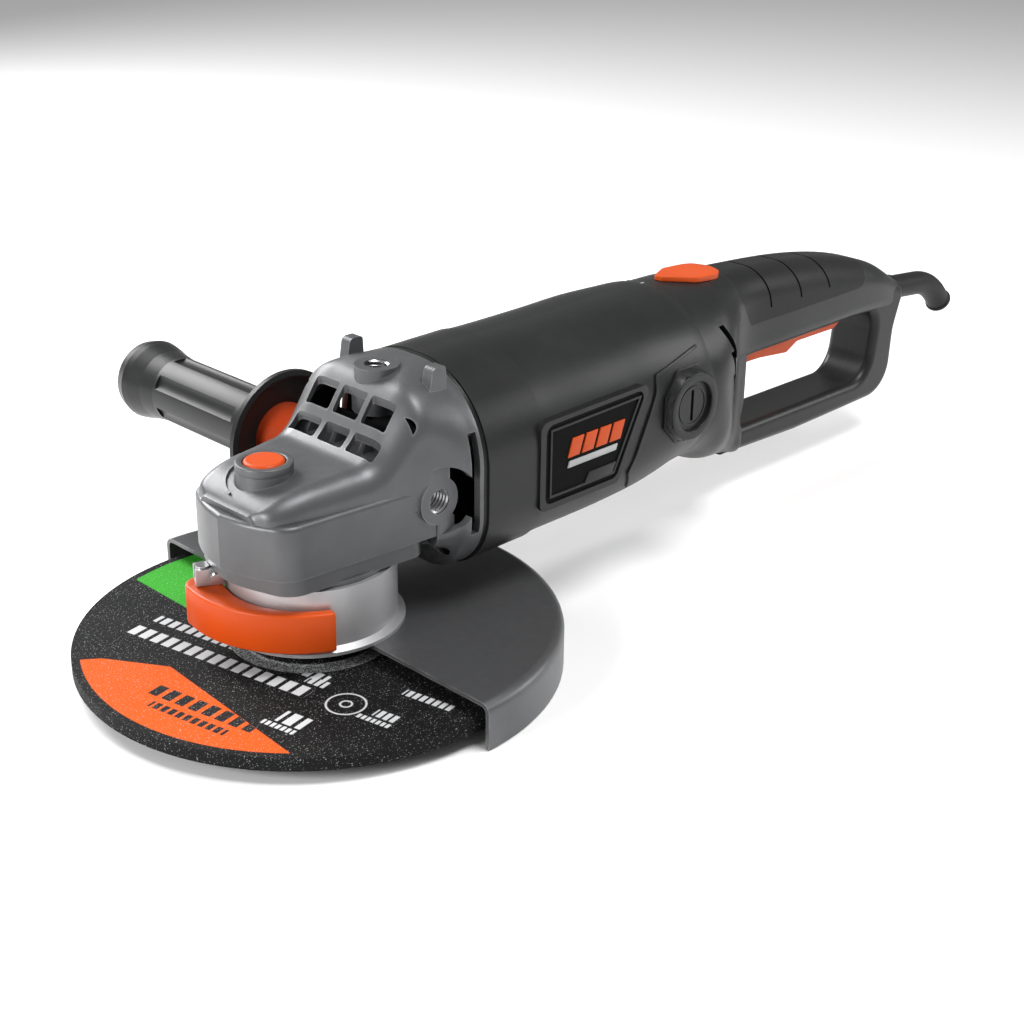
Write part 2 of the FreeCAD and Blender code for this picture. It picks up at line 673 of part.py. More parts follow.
def build_guard():
    start = Vector(math.cos(math.radians(guard_from)), math.sin(math.radians(guard_from)), 0)

    def at(r, z):
        return start * r + Vector(0, 0, z)

    bend = guard_edge_r * (1 - math.sqrt(0.5))
    inner = guard_edge_r - guard_t
    inner_bend = guard_t + inner * (1 - math.sqrt(0.5))
    edges = [
        Part.LineSegment(at(collar_r + collar_wall, guard_top - guard_t),
                         at(guard_r - guard_edge_r, guard_top - guard_t)),
        Part.Arc(at(guard_r - guard_edge_r, guard_top - guard_t),
                 at(guard_r - inner_bend, guard_top - inner_bend),
                 at(guard_r - guard_t, guard_top - guard_edge_r)),
        Part.LineSegment(at(guard_r - guard_t, guard_top - guard_edge_r),
                         at(guard_r - guard_t, guard_skirt_low)),
        Part.LineSegment(at(guard_r - guard_t, guard_skirt_low), at(guard_r, guard_skirt_low)),
        Part.LineSegment(at(guard_r, guard_skirt_low), at(guard_r, guard_top - guard_edge_r)),
        Part.Arc(at(guard_r, guard_top - guard_edge_r), at(guard_r - bend, guard_top - bend),
                 at(guard_r - guard_edge_r, guard_top)),
        Part.LineSegment(at(guard_r - guard_edge_r, guard_top), at(collar_r + collar_wall, guard_top)),
        Part.LineSegment(at(collar_r + collar_wall, guard_top),
                         at(collar_r + collar_wall, guard_top - guard_t)),
    ]
    face = Part.Face(Part.Wire([e.toShape() for e in edges]))
    guard = face.revolve(Vector(0, 0, 0), Vector(0, 0, 1), guard_sweep)
    save("wheel_guard", guard)

    inside = collar_r + running_gap + 0.03
    outside = collar_r + collar_wall
    collar = turned_z([(inside, guard_top - guard_t), (outside, guard_top - guard_t), (outside, guard_top),
                       (outside + 3.5, guard_top), (outside + 3.5, guard_top + 1.6),
                       (outside, guard_top + 3.2),
                       (outside, collar_top), (inside, collar_top)])
    split = block(inside - 3, outside + 12, -1.6, 1.6, guard_top + 3.4, collar_top + 1)
    ears = block(outside - 0.6, pivot_r + 4.0, -4.6, -1.8, lever_high + 0.6, collar_top)
    ears = ears.fuse(block(outside - 0.6, pivot_r + 4.0, 1.8, 4.6, lever_high + 0.6, collar_top))
    foot = block(outside - 0.6, pivot_r + 4.0, -4.6, 4.6, lever_high + 0.6, lever_high + 2.4)
    foot = foot.cut(block(inside, outside + 1.5, -1.6, 1.6, 0, 60))
    clamp_holder = ears.fuse(foot).cut(cyl_y(tie_r + running_gap, -9.0, 9.0, outside + 4.6,
                                             collar_top - 3.4))
    collar = collar.cut(turn_about(split, Vector(0, 0, 0), Vector(0, 0, 1), ear_angle))
    collar = collar.fuse(turn_about(clamp_holder, Vector(0, 0, 0), Vector(0, 0, 1), ear_angle))
    pivot = on_ring(pivot_r, ear_angle)
    collar = collar.cut(cyl(lever_pin_r + running_gap, 0, 60, pivot.x, pivot.y))
    collar = collar.cut(cyl(collar_r + running_gap + 0.03, 0, 60))
    save("guard_collar", collar.removeSplitter())

    pin = cyl(lever_pin_r, lever_low - 0.6, collar_top + 0.5, pivot.x, pivot.y)
    pin = pin.fuse(cyl(lever_pin_r + 1.4, collar_top, collar_top + 1.0, pivot.x, pivot.y))
    save("lever_pin", pin.removeSplitter())

    tie = cyl_y(tie_r, -9.0, 9.0, 0, 0)
    heads = cyl_y(2.8, -9.0, -6.8, 0, 0).fuse(cyl_y(2.8, 6.8, 9.0, 0, 0))
    tie = tie.fuse(heads)
    tie.translate(Vector(outside + 4.6, 0, collar_top - 3.4))
    tie = turn_about(tie, Vector(0, 0, 0), Vector(0, 0, 1), ear_angle)
    save("collar_tie_bolt", tie.removeSplitter())


def build_lever():
    """Curved lever that wraps the front of the collar, from a round heel at its pivot to a thin thumb end."""
    heel_r = pivot_r - collar_r - collar_wall - 0.9
    inner = pivot_r - heel_r
    outer = pivot_r + heel_r
    far = -116.0 + 360.0
    middle = 192.0
    inner_arc = Part.Arc(on_ring(inner, ear_angle), on_ring(inner, middle), on_ring(inner, far)).toShape()
    tip = Part.LineSegment(on_ring(inner, far), on_ring(inner + 5.0, far + 1.0)).toShape()
    outer_arc = Part.Arc(on_ring(inner + 5.0, far + 1.0), on_ring(inner + 9.5, middle),
                         on_ring(outer, ear_angle)).toShape()
    heel = Part.LineSegment(on_ring(outer, ear_angle), on_ring(inner, ear_angle)).toShape()
    face = Part.Face(Part.Wire([inner_arc, tip, outer_arc, heel]))
    face.translate(Vector(0, 0, lever_low))
    lever = face.extrude(Vector(0, 0, lever_high - lever_low))
    pivot = on_ring(pivot_r, ear_angle)
    lever = lever.fuse(cyl(heel_r, lever_low, lever_high, pivot.x, pivot.y)).removeSplitter()
    lever = lever.cut(cyl(lever_pin_r + running_gap, 0, 60, pivot.x, pivot.y))
    save("clamp_lever", lever)


# ---------------------------------------------------------------- side handle
def build_side_handle():
    face_y = boss_face_y
    damper_end = side_flange_y - 2.0
    damper = turned_y([(thread_r + running_gap, face_y + 6), (15.5, face_y + 6), (damper_r, face_y + 9),
                       (damper_r, damper_end + 8),
                       (thread_r + running_gap, damper_end + 8)], boss_x, boss_z)
    save("side_handle_damper", damper)
    nut = turned_y([(thread_r + running_gap, face_y), (12.0, face_y), (12.0, face_y + 6),
                    (thread_r + running_gap, face_y + 6)], boss_x, boss_z)
    save("side_handle_lock_nut", nut)
    stud_start = face_y - boss_depth + 1.0
    rod = cyl_y(tapping_r, stud_start, face_y, boss_x, boss_z)
    rod = rod.fuse(cyl_y(thread_r, face_y, stud_start + stud_len + 24.0, boss_x, boss_z))
    save("side_handle_stud", rod.removeSplitter())

    y0 = side_flange_y
    stud_end = stud_start + stud_len + 24.0
    cup = [(side_flange_r - 2.6, y0), (side_flange_r, y0 + 0.6), (side_flange_r, y0 + 3.4),
           (side_flange_r - 3.0, y0 + 5.6), (side_grip_r + 5.0, y0 + 9.0), (side_grip_r + 1.0, y0 + 13.0)]
    grip = [(side_grip_r, y0 + 20.0), (side_grip_r, side_end_y - 34.0),
            (side_grip_r + 1.2, side_end_y - 24.0),
            (side_bulb_r - 0.6, side_end_y - 15.0), (side_bulb_r, side_end_y - 11.0),
            (side_bulb_r - 1.6, side_end_y - 5.0), (side_bulb_r - 6.5, side_end_y - 1.2), (0, side_end_y)]
    bore = [(0, stud_end), (thread_r + running_gap, stud_end), (thread_r + running_gap, damper_end + 8.0),
            (damper_r + seam, damper_end + 8.0), (damper_r + seam, y0 + 5.0),
            (side_flange_r - 5.0, y0 + 2.6)]
    handle = turned_y(cup + grip + bore, boss_x, boss_z)
    for i in range(6):
        flute = cyl_y(9.0, y0 + 26.0, side_end_y - 36.0, boss_x, boss_z + side_grip_r + 7.6)
        handle = handle.cut(turn_about(flute, Vector(boss_x, 0, boss_z), Vector(0, 1, 0), 60.0 * i))
    save("side_handle_grip", handle)


# ---------------------------------------------------------------- motor
body = [
    (joint_x, body_w - 0.6, body_low + 0.6, body_high - 0.8, 46.0, 33.0),
    (joint_x + 8, body_w, body_low, body_high, 46.0, 33.0),
    (150.0, body_w, body_low, body_high, 46.0, 34.0),
    (190.0, body_w, body_low + 0.2, body_high + 0.8, 46.0, 38.0),
    (214.0, swivel_r + 0.6, motor_z - swivel_r - 0.4, motor_z + swivel_r + 1.4, swivel_r - 0.4,
     swivel_r - 4.0),
    (226.0, swivel_r + 0.6, motor_z - swivel_r - 0.6, motor_z + swivel_r + 1.0, swivel_r + 0.1,
     swivel_r - 0.2),
    (swivel_x, swivel_r, motor_z - swivel_r, motor_z + swivel_r, swivel_r - 0.2, swivel_r - 0.2),
]

cavity_sections = body[:-2] + [(body[-2][0] - body_wall,) + body[-2][1:],
                               (swivel_x - body_wall,) + body[-1][1:]]


def build_motor_housing():
    outer = hull_along_x(body)
    collar = hull_along_x([
        (joint_x + 3, body_w + collar_step, body_low - collar_step, body_high, 46.5, 33.5),
        (collar_step_x, body_w + collar_step, body_low - collar_step, body_high + 0.5, 46.5, 34.0)])
    side_parts = []
    brush_pod = cyl_y(brush_ring_r, -brush_face_y, -40.0, brush_x, motor_z)
    brush_pod = brush_pod.makeFillet(1.2,
                                     [e for e in brush_pod.Edges if e.BoundBox.YMax < -brush_face_y + 0.01])
    side_parts += both_sides(brush_pod)
    bezel = prism_xz(plate_outline(4.0), -(plate_y + 0.9), -44.0)
    side_parts += both_sides(bezel)
    shell = join([outer, collar] + side_parts)
    shell = shell.cut(hull_along_x(cavity_sections, body_wall))
    shell = shell.cut(cyl_x(swivel_neck_r - 4.5, swivel_x - 20, swivel_x + 1))
    neck = turned_x([(swivel_neck_r - 4.5, swivel_x - 1), (swivel_neck_r, swivel_x - 1),
                     (swivel_neck_r, swivel_x + swivel_neck_len),
                     (swivel_lip_r, swivel_x + swivel_neck_len),
                     (swivel_lip_r, swivel_x + swivel_neck_len + swivel_lip_t),
                     (swivel_neck_r - 4.5, swivel_x + swivel_neck_len + swivel_lip_t)])
    carrier = cyl_x(rear_bearing_r + 4.0, rear_bearing_x - 1.5, rear_bearing_x + rear_bearing_w + 2.0)
    spokes = []
    for i in range(4):
        spoke = block(rear_bearing_x, rear_bearing_x + 6.0, -3.0, 3.0, motor_z + rear_bearing_r + 2,
                      motor_z + swivel_neck_r - 4)
        spokes.append(turn_about(spoke, Vector(0, 0, motor_z), Vector(1, 0, 0), 45.0 + 90.0 * i))
    ribs = []
    for i in range(4):
        rib = block(core_x0 + 4, core_x0 + core_len - 4, -4.0, 4.0, motor_z + field_r - 2.0, motor_z + 75.0)
        ribs.append(turn_about(rib, Vector(0, 0, motor_z), Vector(1, 0, 0), 45.0 + 90.0 * i))
    rib_set = ribs[0].fuse(ribs[1:]).common(hull_along_x(body, 1.0)).cut(cyl_x(field_r + 0.02, 80, 220))
    shell = shell.fuse([neck, carrier] + spokes + [rib_set])
    shell = shell.cut(cyl_x(rear_bearing_r, rear_bearing_x, rear_bearing_x + rear_bearing_w + 3))
    shell = shell.cut(cyl_x(rear_bearing_r - 2.0, rear_bearing_x - 4, rear_bearing_x + 1))
    for side in (-1, 1):
        low, high = sorted((side * 30.0, side * (brush_face_y + 1)))
        shell = shell.cut(cyl_y(brush_cap_r + 0.1, low, high, brush_x, motor_z))
        plate = prism_xz(plate_outline(0.3), -plate_y - 2.0, -plate_y + 1.0)
        shell = shell.cut(plate if side < 0 else mirrored(plate))
    for y, z in screw_axes():
        boss = cyl_x(5.0, joint_x, joint_x + 16.0, y, z).common(hull_along_x(body, 1.0))
        shell = shell.fuse(boss).cut(cyl_x(2.22, joint_x - 1, joint_x + 15.5, y, z))
    save("motor_housing", shell.removeSplitter())


def plate_outline(grow):
    """Slanted badge outline in the side view, enlarged by grow."""
    g = grow
    return [(104.0 - g, 57.0 - g * 0.8, 4.0), (155.0 + g * 0.4, 57.0 - g * 0.8, 5.0),
            (176.0 + g, 99.0 + g * 0.6, 4.0), (104.0 - g, 97.5 + g * 0.6, 5.0)]


def build_motor():
    plate = prism_xz(plate_outline(0), -plate_y, -plate_y + 1.0)
    save("badge_left", plate)
    save("badge_right", mirrored(plate))

    shaft = [(0, 22.0), (pinion_bore_r, 22.0), (pinion_bore_r, front_bearing_x - 0.5),
             (front_bearing_bore_r, front_bearing_x - 0.5),
             (front_bearing_bore_r, front_bearing_x + front_bearing_w + 2),
             (shaft_r, front_bearing_x + front_bearing_w + 2), (shaft_r, rear_bearing_x - 1),
             (rear_bearing_bore_r, rear_bearing_x - 1), (rear_bearing_bore_r,
                                                         rear_bearing_x + rear_bearing_w + 1),
             (0, rear_bearing_x + rear_bearing_w + 1)]
    save("armature_shaft", turned_x(shaft))
    save("armature_bearing_front", along_x(bearing(front_bearing_bore_r, front_bearing_r,
                                                   front_bearing_w), front_bearing_x))
    save("armature_bearing_rear", along_x(bearing(rear_bearing_bore_r, rear_bearing_r, rear_bearing_w),
                                          rear_bearing_x))

    core = turned_x([(shaft_r, core_x0), (core_r, core_x0), (core_r, core_x0 + core_len),
                     (shaft_r, core_x0 + core_len)])
    slot = block(core_x0 - 1, core_x0 + core_len + 1, -1.2, 1.2, motor_z + core_r - 8.0,
                 motor_z + core_r + 1)
    for i in range(12):
        core = core.cut(turn_about(slot, Vector(0, 0, motor_z), Vector(1, 0, 0), 30.0 * i))
    save("armature_core", core)
    ends = []
    for x0, x1 in ((core_x0 - 20.0, core_x0), (core_x0 + core_len, core_x0 + core_len + 18.0)):
        ends.append(turned_x([(shaft_r, x0 + 2), (shaft_r + 6, x0), (core_r - 6, x0 + 1.5),
                              (core_r - 3, x0 + 5),
                              (core_r - 3, x1 - 4), (core_r - 5, x1), (shaft_r, x1)]))
    save("armature_windings", Part.makeCompound(ends))
    commutator = turned_x([(shaft_r, commutator_x), (commutator_r, commutator_x),
                           (commutator_r, commutator_x + commutator_len),
                           (shaft_r, commutator_x + commutator_len)])
    cut = block(commutator_x - 1, commutator_x + commutator_len + 1, -0.35, 0.35,
                motor_z + commutator_r - 1.5, motor_z + commutator_r + 1)
    for i in range(24):
        commutator = commutator.cut(turn_about(cut, Vector(0, 0, motor_z), Vector(1, 0, 0), 15.0 * i))
    save("commutator", commutator)

    hub = turned_x([(shaft_r, fan_x), (shaft_r + 5, fan_x), (shaft_r + 6, fan_x + fan_w - 4),
                    (fan_r, fan_x + fan_w - 2.2), (fan_r, fan_x + fan_w), (shaft_r, fan_x + fan_w)])
    blades = []
    for i in range(fan_blades):
        blade = block(fan_x + 2, fan_x + fan_w - 1, -0.9, 0.9, motor_z + shaft_r + 3, motor_z + fan_r - 0.5)
        blade = turn_about(blade, Vector(0, 0, motor_z + fan_r * 0.55), Vector(1, 0, 0), 18.0)
        blade = blade.common(cyl_x(fan_r, fan_x, fan_x + fan_w))
        blades.append(turn_about(blade, Vector(0, 0, motor_z), Vector(1, 0, 0), 360.0 / fan_blades * i))
    save("cooling_fan", hub.fuse(blades).removeSplitter())
    baffle = turned_x([(29.0, fan_x + fan_w + 2), (30.5, fan_x + fan_w + 1),
                       (field_r - 0.5, fan_x + fan_w + 4),
                       (field_r - 0.5, fan_x + fan_w + 9), (field_r - 2.5, fan_x + fan_w + 9),
                       (field_r - 2.5, fan_x + fan_w + 6), (30.0, fan_x + fan_w + 4)])
    save("air_baffle", baffle)

    field = turned_x([(core_r + air_gap, core_x0), (field_r, core_x0), (field_r, core_x0 + core_len),
                      (core_r + air_gap, core_x0 + core_len)])
    for side in (-1, 1):
        low, high = sorted((side * 41.0, side * 60.0))
        field = field.cut(block(core_x0 - 1, core_x0 + core_len + 1, low, high, 0, 200))
        gap = turned_x([(core_r - 1, core_x0 - 1), (field_r - 7, core_x0 - 1),
                        (field_r - 7, core_x0 + core_len + 1),
                        (core_r - 1, core_x0 + core_len + 1)])
        low, high = sorted((side * 0.0, side * 60.0))
        field = field.cut(gap.common(block(0, 300, low, high, motor_z - 16, motor_z + 16)))
    save("field_core", field)
    coils = []
    for x0, x1 in ((core_x0 - 14.0, core_x0), (core_x0 + core_len, core_x0 + core_len + 14.0)):
        ring = turned_x([(core_r + 2.5, x0 + 2), (core_r + 5, x0), (field_r - 6, x0), (field_r - 4, x0 + 2),
                         (field_r - 4, x1 - 2), (field_r - 6, x1), (core_r + 5, x1),
                         (core_r + 2.5, x1 - 2)])
        for half in (-1, 1):
            low, high = sorted((motor_z + half * 11.0, motor_z + half * 70.0))
            coils.append(ring.common(block(0, 300, -70, 70, low, high)))
    save("field_windings", Part.makeCompound(coils))

    wall = 1.0
    for side, label in ((-1, "left"), (1, "right")):
        holder = block(brush_x - brush_w / 2 - wall, brush_x + brush_w / 2 + wall, -46.0,
                       -commutator_r - 1.5,
                       motor_z - brush_h / 2 - wall, motor_z + brush_h / 2 + wall)
        holder = holder.cut(block(brush_x - brush_w / 2 - 0.05, brush_x + brush_w / 2 + 0.05, -50.0, 0,
                                  motor_z - brush_h / 2 - 0.05, motor_z + brush_h / 2 + 0.05))
        carbon = block(brush_x - brush_w / 2, brush_x + brush_w / 2, -36.0, -commutator_r + 2,
                       motor_z - brush_h / 2, motor_z + brush_h / 2)
        carbon = carbon.cut(cyl_x(commutator_r + running_gap, 190, 240))
        spring = turn_about(coil_spring(2.6, 0.4, 9.6, 6), Vector(0, 0, 0), Vector(1, 0, 0), -90)
        spring.translate(Vector(brush_x, -45.8, motor_z))
        cap = cyl_y(brush_cap_r, -brush_face_y + 0.6, -46.2, brush_x, motor_z)
        cap = cap.cut(block(brush_x - 1.1, brush_x + 1.1, -brush_face_y, -brush_face_y + 2.4,
                            motor_z - 8.5, motor_z + 8.5))
        pieces = [("brush_holder_", holder), ("carbon_brush_", carbon), ("brush_spring_", spring),
                  ("brush_cap_", cap)]
        for name, shape in pieces:
            save(name + label, shape if side < 0 else mirrored(shape))


# ---------------------------------------------------------------- rear handle
handle_x = swivel_x + moving_gap
flare = [
    (handle_x, swivel_r - 0.5, motor_z - swivel_r + 0.5, motor_z + swivel_r - 0.5, swivel_r - 0.8,
     swivel_r - 0.8),
    (243.0, swivel_r - 0.8, motor_z - swivel_r + 0.2, motor_z + swivel_r - 0.9, swivel_r - 1.4,
     swivel_r - 3.0),
    (260.0, 43.0, 26.0, 128.5, 37.0, 35.0),
    (274.0, 33.0, 22.5, 127.8, 27.0, 26.0),
    (288.0, 24.0, 20.0, 127.4, 19.0, 17.0),
    (300.0, 20.5, 18.5, 127.0, 17.0, 9.0),
]
grip = [
    (270.0, 34.0, 72.0, 128.0, 27.0, 8.0),
    (288.0, 24.5, 75.0, 127.5, 19.0, 8.0),
    (304.0, 21.5, 76.5, 126.8, 17.0, 8.0),
    (360.0, 21.5, 77.0, 122.0, 17.0, 8.0),
    (405.0, 21.0, 77.0, 114.0, 16.0, 8.0),
    (434.0, 19.5, 75.0, 105.0, 14.0, 8.0),
    (454.0, 16.5, 72.0, 94.0, 10.0, 7.0),
    (468.0, 12.5, 71.0, 86.5, 7.0, 6.0),
]
loop_outer = [(290.0, 112.0, 0), (425.0, 100.0, 20.0), (466.0, 84.0, 6.0), (handle_end_x + 1, 60.0, 30.0),
              (handle_end_x - 0.5, 18.5, 22.0), (360.0, 17.0, 0), (290.0, 19.5, 0)]
loop_inner = [(302.5, 77.5, 7.0), (437.0, 77.5, 13.0), (431.5, 32.0, 17.0), (292.0, 33.5, 9.0),
              (301.5, 58.0, 14.0)]
trigger_outline = [(311.0, 84.0, 2.0), (313.5, 68.0, 3.0), (330.0, 67.6, 6.0), (356.0, 64.8, 4.0),
                   (366.0, 69.6, 8.0),
                   (403.0, 69.2, 6.0), (413.0, 75.0, 3.0), (413.0, 84.5, 2.0)]
pad_outline = [(300.0, 97.0, 4.0), (412.0, 97.0, 9.0), (417.0, 112.0, 3.0), (415.0, 140.0, 0),
               (289.0, 140.0, 0),
               (286.0, 117.0, 2.0)]


def build_handle():
    loop = prism_xz(loop_outer, -bar_w, bar_w).cut(prism_xz(loop_inner, -60, 60))
    edges = [e for e in loop.Edges if abs(abs(e.BoundBox.YMin) - bar_w) < 0.01 and e.BoundBox.YLength < 0.01]
    edges = [e for e in edges if e.BoundBox.XMin > 290.5]
    loop = loop.makeFillet(5.0, edges)
    front = hull_along_x(flare)
    upper = hull_along_x(grip)
    handle = join([front, upper, loop])
    opening = prism_xz(loop_inner, -60, 60)
    handle = handle.cut(opening)

    # hollow grip and front, the swivel groove, and the room for the trigger
    inside = hull_along_x(grip[:-2], grip_wall + 0.4)
    front_inside = hull_along_x([s for s in flare if s[0] < 290], grip_wall + 0.4)
    front_inside = front_inside.common(block(swivel_x + swivel_neck_len + swivel_lip_t + 1.5, 285.0,
                                             -60, 60, 0, 200))
    handle = handle.cut(front_inside.fuse(inside).common(block(0, 452.0, -60, 60, 0, 200)))
    groove = turned_x([(0, swivel_x - 1), (swivel_neck_r + 0.08, swivel_x - 1),
                       (swivel_neck_r + 0.08, swivel_x + swivel_neck_len - moving_gap),
                       (swivel_lip_r + moving_gap, swivel_x + swivel_neck_len - moving_gap),
                       (swivel_lip_r + moving_gap, swivel_x + swivel_neck_len + swivel_lip_t + 2),
                       (0, swivel_x + swivel_neck_len + swivel_lip_t + 2)])
    handle = handle.cut(groove)
    handle = handle.cut(block(309.5, 414.5, -trigger_w - 0.6, trigger_w + 0.6, 60.0, 90.0))
    handle = handle.cut(cyl_y(trigger_pin_r + running_gap, -bar_w + 3, bar_w - 3, trigger_pivot_x,
                              trigger_pivot_z))
    # slanted louvres either side of the front
    for i in range(4):
        x0 = 249.0 + 4.0 * i
        z0 = 112.0 - 14.0 * i
        slot = prism_xz([(x0, z0, 0), (x0 + 4.5, z0, 0), (x0 + 16.0, z0 - 20.0, 0),
                         (x0 + 11.5, z0 - 20.0, 0)], -60, 60)
        handle = handle.cut(slot.cut(block(240, 290, -24, 24, 0, 200)))
    # track of the rotation-lock button
    handle = handle.cut(block(249.0, 249.0 + 26.0, -5.0, 5.0, 118.0, 140.0))
    # soft pads lie in a shallow recess
    pad_area = prism_xz(pad_outline, -40, 40)
    pad_floor = hull_along_x(grip, pad_t)
    skin = hull_along_x(grip).common(pad_area).cut(pad_floor)
    handle = handle.cut(pad_area.cut(pad_floor))
    # cable sleeve seat
    handle = handle.cut(sleeve_body(sleeve_r + 0.02, 18.0))
    handle = handle.cut(block(421.0, 447.0, -11.0, 11.0, 78.0, 96.0))
    for x, z in handle_screws:
        handle = handle.cut(cyl_y(1.9, -12, 50, x, z))
        handle = handle.cut(cyl_y(3.8, handle_screw_y, 60, x, z))
    for side, label in ((-1, "left"), (1, "right")):
        low, high = sorted((0.0, side * 80.0))
        half = block(200, 520, low, high, -20, 200)
        save("handle_shell_" + label, largest(handle.common(half)))
        pad = skin.common(half)
        for x, lean in ((318.0, 13.0), (346.0, 13.0), (374.0, 13.0)):
            groove = prism_xz([(x, 104.0, 0), (x + 1.6, 104.0, 0), (x - lean + 1.6, 150.0, 0),
                               (x - lean, 150.0, 0)], -40, 40)
            pad = pad.cut(groove.cut(hull_along_x(grip, pad_t * 0.45)))
        save("grip_pad_" + label, pad)

    screws = []
    for x, z in handle_screws:
        piece = turn_about(screw(3.4, 2.4, 1.85, 22.0), Vector(0, 0, 0), Vector(1, 0, 0), -90)
        piece.translate(Vector(x, handle_screw_y, z))
        screws.append(piece)
    save("handle_screws", Part.makeCompound(screws))


def sleeve_body(radius, length):
    return Part.makeCylinder(radius, length, sleeve_start, sleeve_dir)


def sleeve_path():
    """Straight run, a wide bend downwards and a short straight end."""
    start = sleeve_start
    ahead = sleeve_dir
    bend_start = start + ahead * 44.0
    bend_r = 44.0
    first = math.atan2(ahead.z, ahead.x)
    last = first - math.radians(40.0)
    centre = bend_start + Vector(math.sin(first), 0, -math.cos(first)) * bend_r

    def on_bend(angle):
        return centre + Vector(-math.sin(angle), 0, math.cos(angle)) * bend_r

    bend_end = on_bend(last)
    end = bend_end + Vector(math.cos(last), 0, math.sin(last)) * 9.0
    edges = [Part.LineSegment(start, bend_start), Part.Arc(bend_start, on_bend((first + last) / 2),
                                                           bend_end),
             Part.LineSegment(bend_end, end)]
    return Part.Wire([e.toShape() for e in edges]), ahead, end, Vector(math.cos(last), 0, math.sin(last))


def build_handle_parts():
    path, ahead, end, end_dir = sleeve_path()
    skin = path.makePipeShell([Part.Wire(Part.makeCircle(sleeve_r - 0.8, sleeve_start, ahead))], True, True)
    bore = path.makePipeShell([Part.Wire(Part.makeCircle(sleeve_bore_r, sleeve_start, ahead))], True, True)
    root = Part.makeCylinder(sleeve_r, 14.0, sleeve_start, ahead)
    bead = Part.makeTorus(sleeve_r - 1.8, 1.9, end - end_dir * 1.9, end_dir)
    sleeve = skin.fuse([root, bead]).cut(bore)
    sleeve = sleeve.cut(Part.makeCylinder(sleeve_bore_r, 3.0, end - end_dir * 1.5, end_dir))
    sleeve = sleeve.cut(Part.makeCylinder(sleeve_bore_r, 3.0, sleeve_start - ahead * 1.5, ahead))
    save("cord_sleeve", sleeve.removeSplitter())

    trigger = prism_xz(trigger_outline, -trigger_w, trigger_w)
    edges = [e for e in trigger.Edges if abs(abs(e.BoundBox.YMin) - trigger_w) < 0.01 and e.BoundBox.YLength < 0.01
             and e.BoundBox.ZMin < 76]
    trigger = trigger.makeFillet(1.2, edges)
    trigger = trigger.cut(cyl_y(trigger_pin_r + running_gap, -20, 20, trigger_pivot_x, trigger_pivot_z))
    save("trigger", trigger)
    save("trigger_pin", cyl_y(trigger_pin_r, -bar_w + 3, bar_w - 3, trigger_pivot_x, trigger_pivot_z))

    switch = block(330.0, 388.0, -11.0, 11.0, 92.5, 112.0)
    switch = switch.makeFillet(1.5, switch.Edges)
    save("switch_block", switch)
    save("capacitor", cyl_x(9.5, 395.0, 422.0, 0, 96.5).common(block(395, 422, -9, 9, 88, 105)))
    clamp = block(427.0, 441.0, -10.5, 10.5, 85.5, 91.0).cut(cyl_x(sleeve_bore_r, 420, 460, 0, 84.0))
    save("cord_clamp", clamp)

    button = prism_xy([(243.0, -2.5, 1.5), (243.0, 2.5, 1.5), (262.0, 13.0, 12.0), (282.0, 13.0, 9.0),
                       (287.0, 0, 9.0),
                       (282.0, -13.0, 9.0), (262.0, -13.0, 12.0)], 115.0, 140.0)
    lid = hull_along_x([(s[0], s[1] + 2.6, s[2], s[3] + 2.6, s[4], s[5]) for s in flare])
    floor = hull_along_x([(s[0], s[1] + seam, s[2], s[3] + seam, s[4], s[5]) for s in flare])
    button = button.common(lid).cut(floor)
    stem = block(250.0, 250.0 + 26.0 - slide_travel - 1.5, -4.5, 4.5, 122.0, 129.5)
    button = button.fuse(stem)
    save("handle_lock_button", button.removeSplitter())


build_gears()
build_spindle()
build_head()
build_cover()
build_head_screws()
build_lock_button()
build_guard()
build_lever()
build_side_handle()
build_motor_housing()
build_motor()
build_handle()
build_handle_parts()
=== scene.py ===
import bpy
import bmesh
import json
import math
from mathutils import Matrix, Vector


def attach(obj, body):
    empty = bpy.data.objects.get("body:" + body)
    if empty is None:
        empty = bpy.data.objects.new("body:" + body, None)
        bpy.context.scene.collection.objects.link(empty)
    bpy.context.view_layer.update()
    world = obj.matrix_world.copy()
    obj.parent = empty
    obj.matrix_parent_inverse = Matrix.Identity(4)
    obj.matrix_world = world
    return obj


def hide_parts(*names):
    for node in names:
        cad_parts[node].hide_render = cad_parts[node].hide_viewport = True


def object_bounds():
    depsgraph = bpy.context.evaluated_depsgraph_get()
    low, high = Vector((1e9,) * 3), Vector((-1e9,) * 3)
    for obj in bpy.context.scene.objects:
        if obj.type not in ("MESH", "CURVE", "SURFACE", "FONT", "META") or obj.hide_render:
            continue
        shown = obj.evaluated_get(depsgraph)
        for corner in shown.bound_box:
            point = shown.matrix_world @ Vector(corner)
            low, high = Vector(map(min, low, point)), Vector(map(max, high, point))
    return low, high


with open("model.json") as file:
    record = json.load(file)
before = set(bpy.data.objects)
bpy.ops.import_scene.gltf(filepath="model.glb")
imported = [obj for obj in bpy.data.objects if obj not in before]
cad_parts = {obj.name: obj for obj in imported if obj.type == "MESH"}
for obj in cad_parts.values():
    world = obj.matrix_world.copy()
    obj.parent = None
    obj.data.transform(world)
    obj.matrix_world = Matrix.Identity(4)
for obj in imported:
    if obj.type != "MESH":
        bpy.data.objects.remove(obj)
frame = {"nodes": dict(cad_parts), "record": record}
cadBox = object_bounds()
nodes = frame["nodes"]

